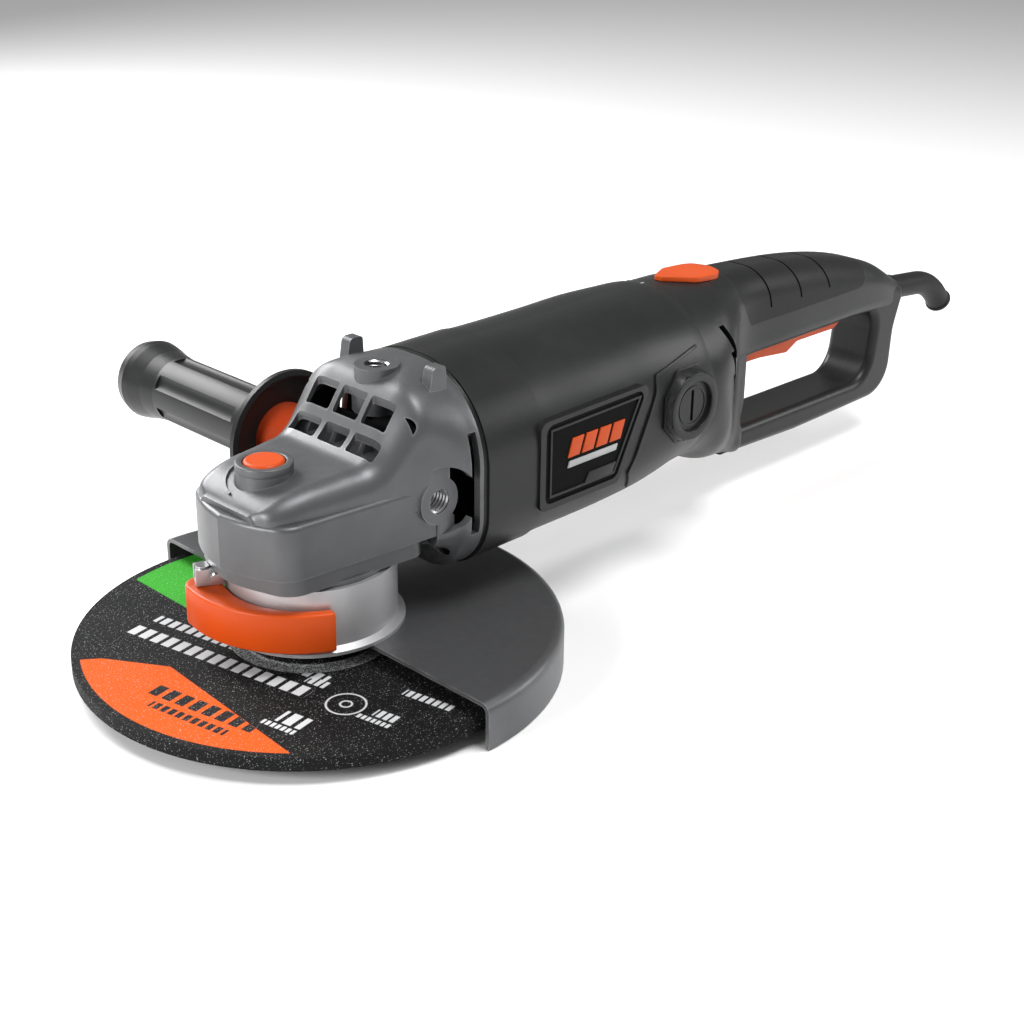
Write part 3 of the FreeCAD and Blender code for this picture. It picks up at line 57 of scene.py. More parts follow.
# camera, floor and light
camera = {
    "place": (-0.4536, -0.5787, 0.3973),
    "turn": 45.421,      # degrees to the left of looking along +Y
    "tilt": 24.163,      # degrees down
    "roll": 0.79,
    "lens": 60.91,
}
studio = {
    "floorSize": 40.0,
    "floorColor": (0.97, 0.97, 0.97),
    "worldColor": (1.0, 1.0, 1.0),
    "worldStrength": 0.27,
}
softboxes = [
    # name, place, size, power, aimed at
    ("keyLight", (0.25, -0.55, 1.70), 0.8, 24.0, (0.10, 0.0, 0.05)),
    ("rimLight", (0.00, 1.30, 0.85), 0.9, 26.0, (0.15, 0.0, 0.10)),
    ("frontLight", (-1.35, 0.15, 0.60), 0.6, 18.0, (0.0, 0.0, 0.06)),
    ("rearLight", (1.30, -0.75, 0.60), 0.6, 5.5, (0.25, 0.0, 0.08)),
]


def aimedAt(place, target):
    return (Vector(target) - Vector(place)).to_track_quat("-Z", "Y").to_euler()


def makeCamera():
    lens = bpy.data.cameras.new("camera")
    lens.lens = camera["lens"]
    lens.sensor_width = 36.0
    lens.clip_end = 100.0
    body = bpy.data.objects.new("camera", lens)
    bpy.context.scene.collection.objects.link(body)
    turn = math.radians(camera["turn"])
    tilt = math.radians(camera["tilt"])
    back = Vector((-math.sin(turn) * math.cos(tilt), -math.cos(turn) * math.cos(tilt), math.sin(tilt)))
    right = Vector((0, 0, 1)).cross(back).normalized()
    up = back.cross(right)
    roll = math.radians(camera["roll"])
    levelRight = right * math.cos(roll) + up * math.sin(roll)
    levelUp = up * math.cos(roll) - right * math.sin(roll)
    facing = Matrix((levelRight, levelUp, back)).transposed().to_4x4()
    body.matrix_world = Matrix.Translation(camera["place"]) @ facing
    bpy.context.scene.camera = body


def makeStudio():
    bpy.ops.mesh.primitive_plane_add(size=studio["floorSize"], location=(0, 0, cadBox[0][2] - 0.0004))
    floor = bpy.context.object
    floor.name = "floor"
    paint = bpy.data.materials.new("floorPaint")
    paint.use_nodes = True
    shader = paint.node_tree.nodes["Principled BSDF"]
    shader.inputs["Base Color"].default_value = (*studio["floorColor"], 1)
    shader.inputs["Roughness"].default_value = 0.6
    floor.data.materials.append(paint)
    world = bpy.data.worlds.new("studioWorld")
    world.use_nodes = True
    sky = world.node_tree.nodes["Background"]
    sky.inputs["Color"].default_value = (*studio["worldColor"], 1)
    sky.inputs["Strength"].default_value = studio["worldStrength"]
    bpy.context.scene.world = world
    bpy.context.scene.view_settings.view_transform = "Standard"
    for name, place, size, power, target in softboxes:
        lamp = bpy.data.lights.new(name, "AREA")
        lamp.shape = "DISK"
        lamp.size = size
        lamp.energy = power
        body = bpy.data.objects.new(name, lamp)
        bpy.context.scene.collection.objects.link(body)
        body.location = place
        body.rotation_euler = aimedAt(place, target)


# shader groups shared by the finishes
def newGroup(name, inputs, outputs):
    group = bpy.data.node_groups.new(name, "ShaderNodeTree")
    for title, kind, value in inputs:
        socket = group.interface.new_socket(title, in_out="INPUT", socket_type=kind)
        socket.default_value = value
    for title, kind in outputs:
        group.interface.new_socket(title, in_out="OUTPUT", socket_type=kind)
    return group, group.nodes.new("NodeGroupInput"), group.nodes.new("NodeGroupOutput")


def addMath(tree, kind, a, b=None, clamp=False):
    node = tree.nodes.new("ShaderNodeMath")
    node.operation = kind
    node.use_clamp = clamp
    for socket, value in zip(node.inputs, (a, b)):
        if value is None:
            continue
        if isinstance(value, (int, float)):
            socket.default_value = value
        else:
            tree.links.new(value, socket)
    return node.outputs[0]


def addMix(tree, factor, a, b):
    node = tree.nodes.new("ShaderNodeMix")
    node.data_type = "RGBA"
    for socket, value in zip((node.inputs[0], node.inputs[6], node.inputs[7]), (factor, a, b)):
        if isinstance(value, (int, float)):
            socket.default_value = value
        elif isinstance(value, tuple):
            socket.default_value = (*value, 1)
        else:
            tree.links.new(value, socket)
    return node.outputs[2]


def addRange(tree, value, low, high, toLow=0.0, toHigh=1.0):
    node = tree.nodes.new("ShaderNodeMapRange")
    tree.links.new(value, node.inputs[0])
    for i, number in enumerate((low, high, toLow, toHigh), 1):
        if isinstance(number, (int, float)):
            node.inputs[i].default_value = number
        else:
            tree.links.new(number, node.inputs[i])
    return node.outputs[0]


def addNoise(tree, where, scale, detail=2.0, rough=0.5):
    node = tree.nodes.new("ShaderNodeTexNoise")
    tree.links.new(where, node.inputs["Vector"])
    if isinstance(scale, (int, float)):
        node.inputs["Scale"].default_value = scale
    else:
        tree.links.new(scale, node.inputs["Scale"])
    node.inputs["Detail"].default_value = detail
    node.inputs["Roughness"].default_value = rough
    return node.outputs[0]


# lighter colour along edges: partly rubbed wear in patches, partly a painted highlight along the bevels
def makeEdgeWearAndHighlight():
    group, ins, outs = newGroup("edgeWearAndHighlight",
                                [("Width", "NodeSocketFloat", 0.0008), ("Patches", "NodeSocketFloat", 60.0),
                                 ("Amount", "NodeSocketFloat", 0.5)],
                                [("Mask", "NodeSocketFloat")])
    where = group.nodes.new("ShaderNodeTexCoord").outputs["Object"]
    bevel = group.nodes.new("ShaderNodeBevel")
    bevel.samples = 4
    group.links.new(ins.outputs["Width"], bevel.inputs["Radius"])
    flat = group.nodes.new("ShaderNodeNewGeometry")
    dot = group.nodes.new("ShaderNodeVectorMath")
    dot.operation = "DOT_PRODUCT"
    group.links.new(bevel.outputs[0], dot.inputs[0])
    group.links.new(flat.outputs["Normal"], dot.inputs[1])
    edge = addRange(group, dot.outputs["Value"], 0.995, 0.90)
    patchy = addRange(group, addNoise(group, where, ins.outputs["Patches"], 4.0, 0.65), 0.38, 0.62)
    mask = addMath(group, "MULTIPLY", addMath(group, "MULTIPLY", edge, patchy), ins.outputs["Amount"], True)
    group.links.new(mask, outs.inputs["Mask"])
    return group


def makeGrain():
    group, ins, outs = newGroup("mouldGrain",
                                [("Scale", "NodeSocketFloat", 1400.0), ("Mottle", "NodeSocketFloat", 28.0)],
                                [("Height", "NodeSocketFloat"), ("Cloud", "NodeSocketFloat"),
                                 ("Fleck", "NodeSocketFloat")])
    where = group.nodes.new("ShaderNodeTexCoord").outputs["Object"]
    fine = addNoise(group, where, ins.outputs["Scale"], 2.0, 0.6)
    group.links.new(fine, outs.inputs["Height"])
    cloud = addNoise(group, where, ins.outputs["Mottle"], 5.0, 0.6)
    group.links.new(addRange(group, cloud, 0.3, 0.7), outs.inputs["Cloud"])
    cells = group.nodes.new("ShaderNodeTexVoronoi")
    group.links.new(where, cells.inputs["Vector"])
    group.links.new(ins.outputs["Scale"], cells.inputs["Scale"])
    group.links.new(addRange(group, cells.outputs["Distance"], 0.32, 0.12), outs.inputs["Fleck"])
    return group


def makeDust():
    group, ins, outs = newGroup("dustFilm", [("Amount", "NodeSocketFloat", 0.2)],
                                [("Mask", "NodeSocketFloat")])
    where = group.nodes.new("ShaderNodeTexCoord").outputs["Object"]
    flat = group.nodes.new("ShaderNodeNewGeometry")
    axes = group.nodes.new("ShaderNodeSeparateXYZ")
    group.links.new(flat.outputs["Normal"], axes.inputs[0])
    upward = addRange(group, axes.outputs["Z"], 0.2, 1.0)
    broken = addRange(group, addNoise(group, where, 190.0, 6.0, 0.7), 0.42, 0.75)
    mask = addMath(group, "MULTIPLY", addMath(group, "MULTIPLY", upward, broken), ins.outputs["Amount"], True)
    group.links.new(mask, outs.inputs["Mask"])
    return group


edgeWearAndHighlight = makeEdgeWearAndHighlight()
mouldGrain = makeGrain()
dustFilm = makeDust()


def useGroup(tree, group, **values):
    node = tree.nodes.new("ShaderNodeGroup")
    node.node_tree = group
    for title, value in values.items():
        node.inputs[title].default_value = value
    return node


def startFinish(name, metallic, specular=0.5, coat=0.0):
    finish = bpy.data.materials.new(name)
    finish.use_nodes = True
    tree = finish.node_tree
    shader = tree.nodes["Principled BSDF"]
    shader.inputs["Metallic"].default_value = metallic
    shader.inputs["Specular IOR Level"].default_value = specular
    shader.inputs["Coat Weight"].default_value = coat
    return finish, tree, shader


def addBump(tree, shader, height, strength, distance):
    bump = tree.nodes.new("ShaderNodeBump")
    bump.inputs["Strength"].default_value = strength
    bump.inputs["Distance"].default_value = distance
    tree.links.new(height, bump.inputs["Height"])
    tree.links.new(bump.outputs[0], shader.inputs["Normal"])


def makeFinish(name, look):
    finish, tree, shader = startFinish(name, look["metallic"], look.get("specular", 0.5),
                                       look.get("coat", 0.0))
    grain = useGroup(tree, mouldGrain, Scale=look["grain"], Mottle=look["mottle"])
    wearAndHighlight = useGroup(tree, edgeWearAndHighlight, Width=look["edge"], Patches=look.get("patches", 60.0),
                    Amount=look["wearAndHighlight"])
    dust = useGroup(tree, dustFilm, Amount=look["dust"])
    color = addMix(tree, grain.outputs["Cloud"], look["color"], look["shade"])
    color = addMix(tree, dust.outputs["Mask"], color, look.get("dustColor", (0.30, 0.29, 0.28)))
    # edges take the lighter colour: wear, and also a painted highlight along the bevels
    color = addMix(tree, wearAndHighlight.outputs["Mask"], color, look["wornAndHighlight"])
    tree.links.new(color, shader.inputs["Base Color"])
    low, high = look["rough"]
    tree.links.new(addRange(tree, grain.outputs["Cloud"], 0.0, 1.0, low, high), shader.inputs["Roughness"])
    addBump(tree, shader, grain.outputs["Height"], look["bump"], look.get("depth", 0.00012))
    return finish


finishes = {
    "cast_grey": dict(color=(0.116, 0.118, 0.122), shade=(0.092, 0.094, 0.098), wornAndHighlight=(0.42, 0.42, 0.42),
                      metallic=0.55, rough=(0.36, 0.46), grain=1100.0, mottle=22.0, edge=0.0011,
                      wearAndHighlight=0.30, dust=0.10, bump=0.35),
    "guard_steel": dict(color=(0.145, 0.147, 0.151), shade=(0.112, 0.114, 0.118), wornAndHighlight=(0.48, 0.48, 0.48),
                        metallic=0.7, rough=(0.34, 0.46), grain=900.0, mottle=16.0, edge=0.0012,
                        wearAndHighlight=0.55, dust=0.08, bump=0.2),
    "steel": dict(color=(0.50, 0.50, 0.51), shade=(0.36, 0.36, 0.37), wornAndHighlight=(0.75, 0.75, 0.75),
                  metallic=1.0, rough=(0.24, 0.38), grain=1500.0, mottle=50.0, edge=0.0004,
                  wearAndHighlight=0.4, dust=0.0, bump=0.15),
    "zinc_plate": dict(color=(0.56, 0.56, 0.57), shade=(0.44, 0.44, 0.45), wornAndHighlight=(0.80, 0.80, 0.80),
                       metallic=0.75, rough=(0.36, 0.48), grain=900.0, mottle=30.0, edge=0.0006,
                       wearAndHighlight=0.4, dust=0.05, bump=0.2),
    "black_screw": dict(color=(0.035, 0.035, 0.036), shade=(0.02, 0.02, 0.02), wornAndHighlight=(0.35, 0.35, 0.35),
                        metallic=0.9, rough=(0.32, 0.45), grain=1500.0, mottle=60.0, edge=0.0003,
                        wearAndHighlight=0.5, dust=0.0, bump=0.2),
    "lamination": dict(color=(0.22, 0.22, 0.23), shade=(0.15, 0.15, 0.15), wornAndHighlight=(0.5, 0.5, 0.5),
                       metallic=0.9, rough=(0.4, 0.55), grain=2000.0, mottle=40.0, edge=0.0004,
                       wearAndHighlight=0.2, dust=0.0, bump=0.3),
    "copper": dict(color=(0.42, 0.13, 0.045), shade=(0.28, 0.08, 0.03), wornAndHighlight=(0.75, 0.40, 0.25),
                   metallic=0.95, rough=(0.28, 0.42), grain=1800.0, mottle=60.0, edge=0.0004,
                   wearAndHighlight=0.3, dust=0.0, bump=0.4),
    "brass": dict(color=(0.55, 0.38, 0.12), shade=(0.40, 0.27, 0.08), wornAndHighlight=(0.85, 0.68, 0.35),
                  metallic=1.0, rough=(0.28, 0.4), grain=1500.0, mottle=60.0, edge=0.0004,
                  wearAndHighlight=0.3, dust=0.0, bump=0.2),
    "carbon": dict(color=(0.016, 0.016, 0.017), shade=(0.03, 0.03, 0.03), wornAndHighlight=(0.08, 0.08, 0.08),
                   metallic=0.1, rough=(0.5, 0.7), grain=1800.0, mottle=80.0, edge=0.0004,
                   wearAndHighlight=0.2, dust=0.0, bump=0.4),
    "black_plastic": dict(color=(0.0105, 0.0112, 0.0110), shade=(0.0150, 0.0157, 0.0155),
                          wornAndHighlight=(0.070, 0.072, 0.072), metallic=0.0, rough=(0.33, 0.43),
                          grain=1250.0, mottle=14.0, edge=0.0009,
                          wearAndHighlight=0.22, dust=0.010, bump=0.30, specular=0.30),
    "soft_grip": dict(color=(0.014, 0.0143, 0.0143), shade=(0.019, 0.0193, 0.0193), wornAndHighlight=(0.05, 0.05, 0.05),
                      metallic=0.0, rough=(0.42, 0.54), grain=1700.0, mottle=24.0, edge=0.0007,
                      wearAndHighlight=0.2, dust=0.02, bump=0.6, specular=0.16),
    "orange_plastic": dict(color=(0.58, 0.070, 0.004), shade=(0.50, 0.056, 0.003), wornAndHighlight=(0.80, 0.17, 0.04),
                           metallic=0.0, rough=(0.34, 0.44), grain=1100.0, mottle=20.0, edge=0.0008,
                           wearAndHighlight=0.25, dust=0.02, bump=0.3, specular=0.26),
    "badge_plate": dict(color=(0.0035, 0.0037, 0.0037), shade=(0.0055, 0.0057, 0.0057),
                        wornAndHighlight=(0.05, 0.05, 0.05), metallic=0.0, rough=(0.42, 0.55),
                        grain=1500.0, mottle=20.0, edge=0.0005,
                        wearAndHighlight=0.2, dust=0.03, bump=0.3, specular=0.04),
    "badge_grey": dict(color=(0.42, 0.43, 0.43), shade=(0.36, 0.37, 0.37), wornAndHighlight=(0.6, 0.6, 0.6),
                       metallic=0.0, rough=(0.4, 0.5), grain=1500.0, mottle=40.0, edge=0.0003,
                       wearAndHighlight=0.2, dust=0.05, bump=0.1),
    # orange_rubber: its colour is darkened as painted shade, for the damper that sits in shadow
    "orange_rubber": dict(color=(0.36, 0.036, 0.005), shade=(0.28, 0.028, 0.004), wornAndHighlight=(0.50, 0.09, 0.03),
                          metallic=0.0, rough=(0.5, 0.6), grain=1500.0, mottle=30.0, edge=0.0008,
                          wearAndHighlight=0.2, dust=0.05, bump=0.5, specular=0.2),
}
made = {name: makeFinish(name, look) for name, look in finishes.items()}


# the disc: abrasive grains, printed paper label, grey mesh ring about the hub
disc = {
    "labelOuter": 0.1085,
    "ringInner": 0.0335,
    "ringOuter": 0.0405,
    "orange": (0.60, 0.085, 0.006),
    "green": (0.035, 0.30, 0.022),
    "print": (0.55, 0.56, 0.57),
    "orangeEdges": [(-0.9975, 0.0706, 0.0700), (-0.591, -0.807, 0.0139), (-0.84, -0.54, 0.0480)],
    "greenEdges": [(1.0, 0.0, -0.0294), (-1.0, 0.0, -0.0300), (0.0, 1.0, 0.0)],
    # rows of print: the direction of reading, then start, length, offset across, height and mark width
    "reading": (-0.20, 0.98),
    "rows": [(-0.036, 0.108, 0.0425, 0.0085, 0.0072),
             (-0.035, 0.105, 0.0295, 0.0062, 0.0055),
             (-0.052, 0.014, 0.0635, 0.0095, 0.0070),
             (-0.052, 0.018, 0.0745, 0.0034, 0.0028),
             (-0.038, 0.011, 0.0340, 0.0058, 0.0036),
             (-0.082, 0.012, 0.0400, 0.0058, 0.0036),
             (-0.083, 0.018, 0.0475, 0.0032, 0.0026),
             (-0.096, 0.026, 0.0190, 0.0050, 0.0036)],
    "darkRows": [(-0.036, 0.060, 0.0785, 0.0085, 0.0078),
                 (-0.028, 0.044, 0.0905, 0.0048, 0.0044)],
    "rings": [(-0.0327, -0.0629, 0.0085, 0.0009), (-0.0327, -0.0629, 0.0022, 0.0009)],
}


def beyond(tree, axes, nx, ny, limit, soft=0.0003):
    reach = addMath(tree, "ADD", addMath(tree, "MULTIPLY", axes[0], nx),
                    addMath(tree, "MULTIPLY", axes[1], ny))
    return addRange(tree, reach, limit - soft, limit + soft)


def allOf(tree, masks):
    result = masks[0]
    for mask in masks[1:]:
        result = addMath(tree, "MULTIPLY", result, mask)
    return result


def anyOf(tree, masks):
    result = masks[0]
    for mask in masks[1:]:
        result = addMath(tree, "MAXIMUM", result, mask)
    return result


def band(tree, value, low, high, soft=0.00025):
    return allOf(tree, [addRange(tree, value, low - soft, low + soft),
                        addRange(tree, value, high + soft, high - soft)])


# a row of plain blocks where a real label has its words
def printedRow(tree, axes, row):
    ux, uy = disc["reading"]
    start, length, offset, height, width = row
    along = addMath(tree, "ADD", addMath(tree, "MULTIPLY", axes[0], ux),
                    addMath(tree, "MULTIPLY", axes[1], uy))
    across = addMath(tree, "ADD", addMath(tree, "MULTIPLY", axes[0], -uy),
                     addMath(tree, "MULTIPLY", axes[1], ux))
    pitch = addMath(tree, "FRACT", addMath(tree, "DIVIDE", along, width))
    gap = addRange(tree, pitch, 0.30, 0.36)
    return allOf(tree, [band(tree, along, start, start + length),
                        band(tree, across, offset, offset + height), gap])


def makeDiscFinish():
    finish, tree, shader = startFinish("abrasive", 0.0, 0.12)
    where = tree.nodes.new("ShaderNodeTexCoord").outputs["Object"]
    split = tree.nodes.new("ShaderNodeSeparateXYZ")
    tree.links.new(where, split.inputs[0])
    axes = split.outputs
    flat = tree.nodes.new("ShaderNodeCombineXYZ")
    tree.links.new(axes[0], flat.inputs[0])
    tree.links.new(axes[1], flat.inputs[1])
    length = tree.nodes.new("ShaderNodeVectorMath")
    length.operation = "LENGTH"
    tree.links.new(flat.outputs[0], length.inputs[0])
    radius = length.outputs["Value"]
    upper = addRange(tree, axes[2], 0.0058, 0.0062)
    paper = allOf(tree, [upper, band(tree, radius, disc["ringOuter"], disc["labelOuter"])])
    grit = useGroup(tree, mouldGrain, Scale=620.0, Mottle=30.0)
    coarse = addNoise(tree, where, 1500.0, 1.0, 0.5)
    bright = addRange(tree, coarse, 0.66, 0.72)
    color = addMix(tree, grit.outputs["Cloud"], (0.0040, 0.0042, 0.0044), (0.0080, 0.0084, 0.0086))
    orange = allOf(tree, [paper] + [beyond(tree, axes, *edge) for edge in disc["orangeEdges"]])
    green = allOf(tree, [paper] + [beyond(tree, axes, *edge) for edge in disc["greenEdges"]])
    color = addMix(tree, orange, color, disc["orange"])
    color = addMix(tree, green, color, disc["green"])
    marks = [printedRow(tree, axes, row) for row in disc["rows"]]
    for x, y, ringRadius, ringWidth in disc["rings"]:
        away = tree.nodes.new("ShaderNodeVectorMath")
        away.operation = "DISTANCE"
        tree.links.new(flat.outputs[0], away.inputs[0])
        away.inputs[1].default_value = (x, y, 0)
        marks.append(band(tree, away.outputs["Value"], ringRadius, ringRadius + ringWidth))
    marks = allOf(tree, [anyOf(tree, marks), paper, addMath(tree, "SUBTRACT", 1.0, orange)])
    color = addMix(tree, marks, color, disc["print"])
    dark = allOf(tree, [anyOf(tree, [printedRow(tree, axes, row) for row in disc["darkRows"]]), orange])
    color = addMix(tree, dark, color, (0.012, 0.012, 0.012))
    ring = allOf(tree, [upper, band(tree, radius, disc["ringInner"], disc["ringOuter"])])
    ringColor = addMix(tree, addRange(tree, addNoise(tree, where, 1300.0, 2.0), 0.42, 0.6),
                       (0.06, 0.06, 0.06), (0.36, 0.37, 0.37))
    color = addMix(tree, ring, color, ringColor)
    color = addMix(tree, addMath(tree, "MULTIPLY", bright, 0.55), color, (0.50, 0.50, 0.50))
    tree.links.new(color, shader.inputs["Base Color"])
    tree.links.new(addRange(tree, grit.outputs["Cloud"], 0.0, 1.0, 0.55, 0.72), shader.inputs["Roughness"])
    addBump(tree, shader, grit.outputs["Fleck"], 0.45, 0.00022)
    return finish


made["abrasive"] = makeDiscFinish()


def dressNodes():
    slotOf = {row["node"]: row["material_slot"] for row in frame["record"]["subparts"]}
    for name, piece in nodes.items():
        look = "badge_plate" if name.startswith("badge") else slotOf[name]
        for slot in piece.material_slots:
            slot.material = made.get(look, made["zinc_plate"])


# modelling helpers
def clearSelection():
    if bpy.context.mode != "OBJECT":
        bpy.ops.object.mode_set(mode="OBJECT")
    bpy.ops.object.select_all(action="DESELECT")


def selectOnly(piece):
    clearSelection()
    piece.select_set(True)
    bpy.context.view_layer.objects.active = piece


def editAgain(piece):
    selectOnly(piece)
    bpy.ops.object.mode_set(mode="EDIT")


# the object just added, named and in edit mode
def begin(name):
    piece = bpy.context.object
    piece.name = name
    piece.data.name = name
    bpy.ops.object.mode_set(mode="EDIT")
    return piece


# in edit mode, select the vertices, edges or faces whose middle passes the test
def pick(piece, kind, test):
    bpy.ops.mesh.select_mode(type={"verts": "VERT", "edges": "EDGE", "faces": "FACE"}[kind])
    bpy.ops.mesh.select_all(action="DESELECT")
    mesh = bmesh.from_edit_mesh(piece.data)
    for item in getattr(mesh, kind):
        if kind == "verts":
            middle = item.co
        elif kind == "edges":
            middle = (item.verts[0].co + item.verts[1].co) / 2
        else:
            middle = item.calc_center_median()
        item.select = bool(test(middle))
    mesh.select_flush_mode()
    bmesh.update_edit_mesh(piece.data)


def pickFacing(piece, direction, tightness=0.9):
    bpy.ops.mesh.select_mode(type="FACE")
    bpy.ops.mesh.select_all(action="DESELECT")
    mesh = bmesh.from_edit_mesh(piece.data)
    for face in mesh.faces:
        face.select = face.normal.dot(Vector(direction)) > tightness
    mesh.select_flush_mode()
    bmesh.update_edit_mesh(piece.data)


# back to object mode: place applied, normals outwards, shaded, dressed and riding
def finishPiece(piece, finish, body, smooth=35.0):
    selectOnly(piece)
    bpy.ops.object.transform_apply(location=True, rotation=True, scale=True)
    bpy.ops.object.mode_set(mode="EDIT")
    bpy.ops.mesh.select_all(action="SELECT")
    bpy.ops.mesh.remove_doubles(threshold=0.00001)
    bpy.ops.mesh.normals_make_consistent(inside=False)
    bpy.ops.object.mode_set(mode="OBJECT")
    bpy.ops.object.shade_smooth_by_angle(angle=math.radians(smooth))
    piece.data.materials.clear()
    piece.data.materials.append(finish)
    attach(piece, body)
    return piece


def applyModifier(piece, kind, **values):
    selectOnly(piece)
    modifier = piece.modifiers.new(kind.title(), kind)
    for title, value in values.items():
        setattr(modifier, title, value)
    bpy.ops.object.modifier_apply(modifier=modifier.name)


# a CAD node's mesh as a piece of its own, merged so that modifiers can round it
def copyOfNode(name, newName):
    clearSelection()
    piece = nodes[name].copy()
    piece.data = nodes[name].data.copy()
    piece.name = newName
    piece.data.name = newName
    bpy.context.scene.collection.objects.link(piece)
    editAgain(piece)
    bpy.ops.mesh.select_all(action="SELECT")
    bpy.ops.mesh.remove_doubles(threshold=0.00001)
    bpy.ops.mesh.dissolve_limited(angle_limit=math.radians(1.0))
    bpy.ops.object.mode_set(mode="OBJECT")
    return piece


# the same piece on the other side of the tool
def mirrorCopy(piece, newName, body):
    clearSelection()
    other = piece.copy()
    other.data = piece.data.copy()
    other.name = newName
    other.data.name = newName
    bpy.context.scene.collection.objects.link(other)
    other.scale.y = -1
    return finishPiece(other, piece.data.materials[0], body)


# a flat ribbon in a plane y = side that follows (x, z) points, its corners mitred
def runRibbon(name, path, width, side=-0.06):
    clearSelection()
    points = [Vector((x, 0, z)) for x, z in path]
    closed = (points[0] - points[-1]).length < 1e-6
    if closed:
        points = points[:-1]
    count = len(points)
    edges = []
    for i in range(count):
        back = points[i] - points[i - 1] if closed or i > 0 else points[1] - points[0]
        ahead = points[(i + 1) % count] - points[i] if closed or i < count - 1 else points[-1] - points[-2]
        back.normalize()
        ahead.normalize()
        normal = Vector((-(back.z + ahead.z), 0, back.x + ahead.x)).normalized()
        reach = width / 2 / max(0.3, normal.dot(Vector((-back.z, 0, back.x))))
        edges.append((points[i] + normal * reach, points[i] - normal * reach))
    bpy.ops.mesh.primitive_plane_add(size=width, location=(0, 0, 0))
    piece = begin(name)
    mesh = bmesh.from_edit_mesh(piece.data)
    mesh.verts.ensure_lookup_table()
    bpy.ops.mesh.select_all(action="DESELECT")
    corners = list(mesh.faces[:][0].verts)
    for vert, spot in zip(corners, (edges[0][0], edges[0][1], edges[1][1], edges[1][0])):
        vert.co = spot + Vector((0, side, 0))
    last = [edge for edge in mesh.edges if set(edge.verts) == {corners[2], corners[3]}][0]
    for left, right in edges[2:] + (edges[:1] if closed else []):
        grown = bmesh.ops.extrude_edge_only(mesh, edges=[last])["geom"]
        ends = [v for v in grown if isinstance(v, bmesh.types.BMVert)]
        lead = [v for v in ends if any(e.other_vert(v) is corners[3] for e in v.link_edges)][0]
        trail = [v for v in ends if v is not lead][0]
        lead.co = left + Vector((0, side, 0))
        trail.co = right + Vector((0, side, 0))
        corners = [None, None, trail, lead]
        last = [e for e in grown if isinstance(e, bmesh.types.BMEdge) and set(e.verts) == {lead, trail}][0]
    bmesh.ops.remove_doubles(mesh, verts=mesh.verts[:], dist=0.00001)
    bmesh.update_edit_mesh(piece.data)
    bpy.ops.mesh.select_all(action="SELECT")
    bpy.ops.mesh.subdivide(number_cuts=3)
    bpy.ops.object.mode_set(mode="OBJECT")
    return piece


# press a flat piece along an axis onto a CAD node, then give it a thickness
def layOn(piece, node, rise, axis="y"):
    applyModifier(piece, "SHRINKWRAP", target=nodes[node], wrap_method="PROJECT", use_project_x=axis == "x",
                  use_project_y=axis == "y", use_project_z=axis == "z", use_positive_direction=True,
                  use_negative_direction=True, offset=rise)
    applyModifier(piece, "SOLIDIFY", thickness=rise * 2.2, offset=0.0)
    return piece


# a ring with a rectangular section: a disc, inset, its middle removed, then extruded
def solidRing(name, inner, outer, low, high, centre, axis="y", steps=64):
    clearSelection()
    turn = {"x": (0, math.pi / 2, 0), "y": (math.pi / 2, 0, 0), "z": (0, 0, 0)}[axis]
    bpy.ops.mesh.primitive_circle_add(vertices=steps, radius=outer, fill_type="NGON", location=centre,
                                      rotation=turn)
    piece = begin(name)
    bpy.ops.mesh.select_all(action="SELECT")
    bpy.ops.mesh.inset(thickness=outer - inner, depth=0.0)
    bpy.ops.mesh.delete(type="FACE")
    bpy.ops.mesh.select_all(action="SELECT")
    along = {"x": (1, 0, 0), "y": (0, 1, 0), "z": (0, 0, 1)}[axis]
    bpy.ops.mesh.extrude_region_move(TRANSFORM_OT_translate={"value": tuple(c * (high - low) for c in along)})
    bpy.ops.mesh.select_all(action="SELECT")
    bpy.ops.transform.translate(value=tuple(c * low for c in along))
    bpy.ops.object.mode_set(mode="OBJECT")
    return piece


makeCamera()
makeStudio()
dressNodes()
print("camera, light and finishes are set")


# brush caps and the raised panel round them, on both sides
brush = {
    "centre": (0.212, 0.081),
    "face": 0.0535,
    "ringInner": 0.0136,
    "ringOuter": 0.0182,
    "ringRise": 0.0012,
    "capGroove": (0.0098, 0.0106),
    "panel": [(0.2240, 0.1085), (0.1885, 0.1020), (0.1860, 0.0930), (0.1680, 0.0550), (0.1750, 0.0430)],
    "octagonRadius": 0.0198,
}


def makeBrushTrim():
    x, z = brush["centre"]
    face = brush["face"]
    ring = solidRing("brushRing_left", brush["ringInner"], brush["ringOuter"], -0.0006,
                     brush["ringRise"] + 0.0008,
                     (x, -face - brush["ringRise"], z))
    applyModifier(ring, "BEVEL", width=0.0006, segments=3, limit_method="ANGLE")
    finishPiece(ring, made["black_plastic"], "tool_body")
    mirrorCopy(ring, "brushRing_right", "tool_body")
    low, high = brush["capGroove"]
    line = solidRing("brushCapLine_left", low, high, 0.0, 0.0007, (x, -face + 0.0002, z))
    finishPiece(line, made["black_plastic"], "tool_body")
    mirrorCopy(line, "brushCapLine_right", "tool_body")
    corners = []
    for i in range(9):
        angle = math.radians(22.5 + 45.0 * i)
        corners.append((x + brush["octagonRadius"] * math.cos(angle),
                        z + brush["octagonRadius"] * math.sin(angle)))
    for title, path, width, rise in (("brushFrame", corners, 0.0030, 0.0007),
                                     ("panelEdge", brush["panel"], 0.0016, 0.0006)):
        strip = layOn(runRibbon(title + "_left", path, width), "motor_housing", rise)
        applyModifier(strip, "BEVEL", width=rise * 0.5, segments=2, limit_method="ANGLE")
        finishPiece(strip, made["black_plastic"], "tool_body")
        mirrorCopy(strip, title + "_right", "tool_body")
    print("brush caps have their rings and panels")


makeBrushTrim()


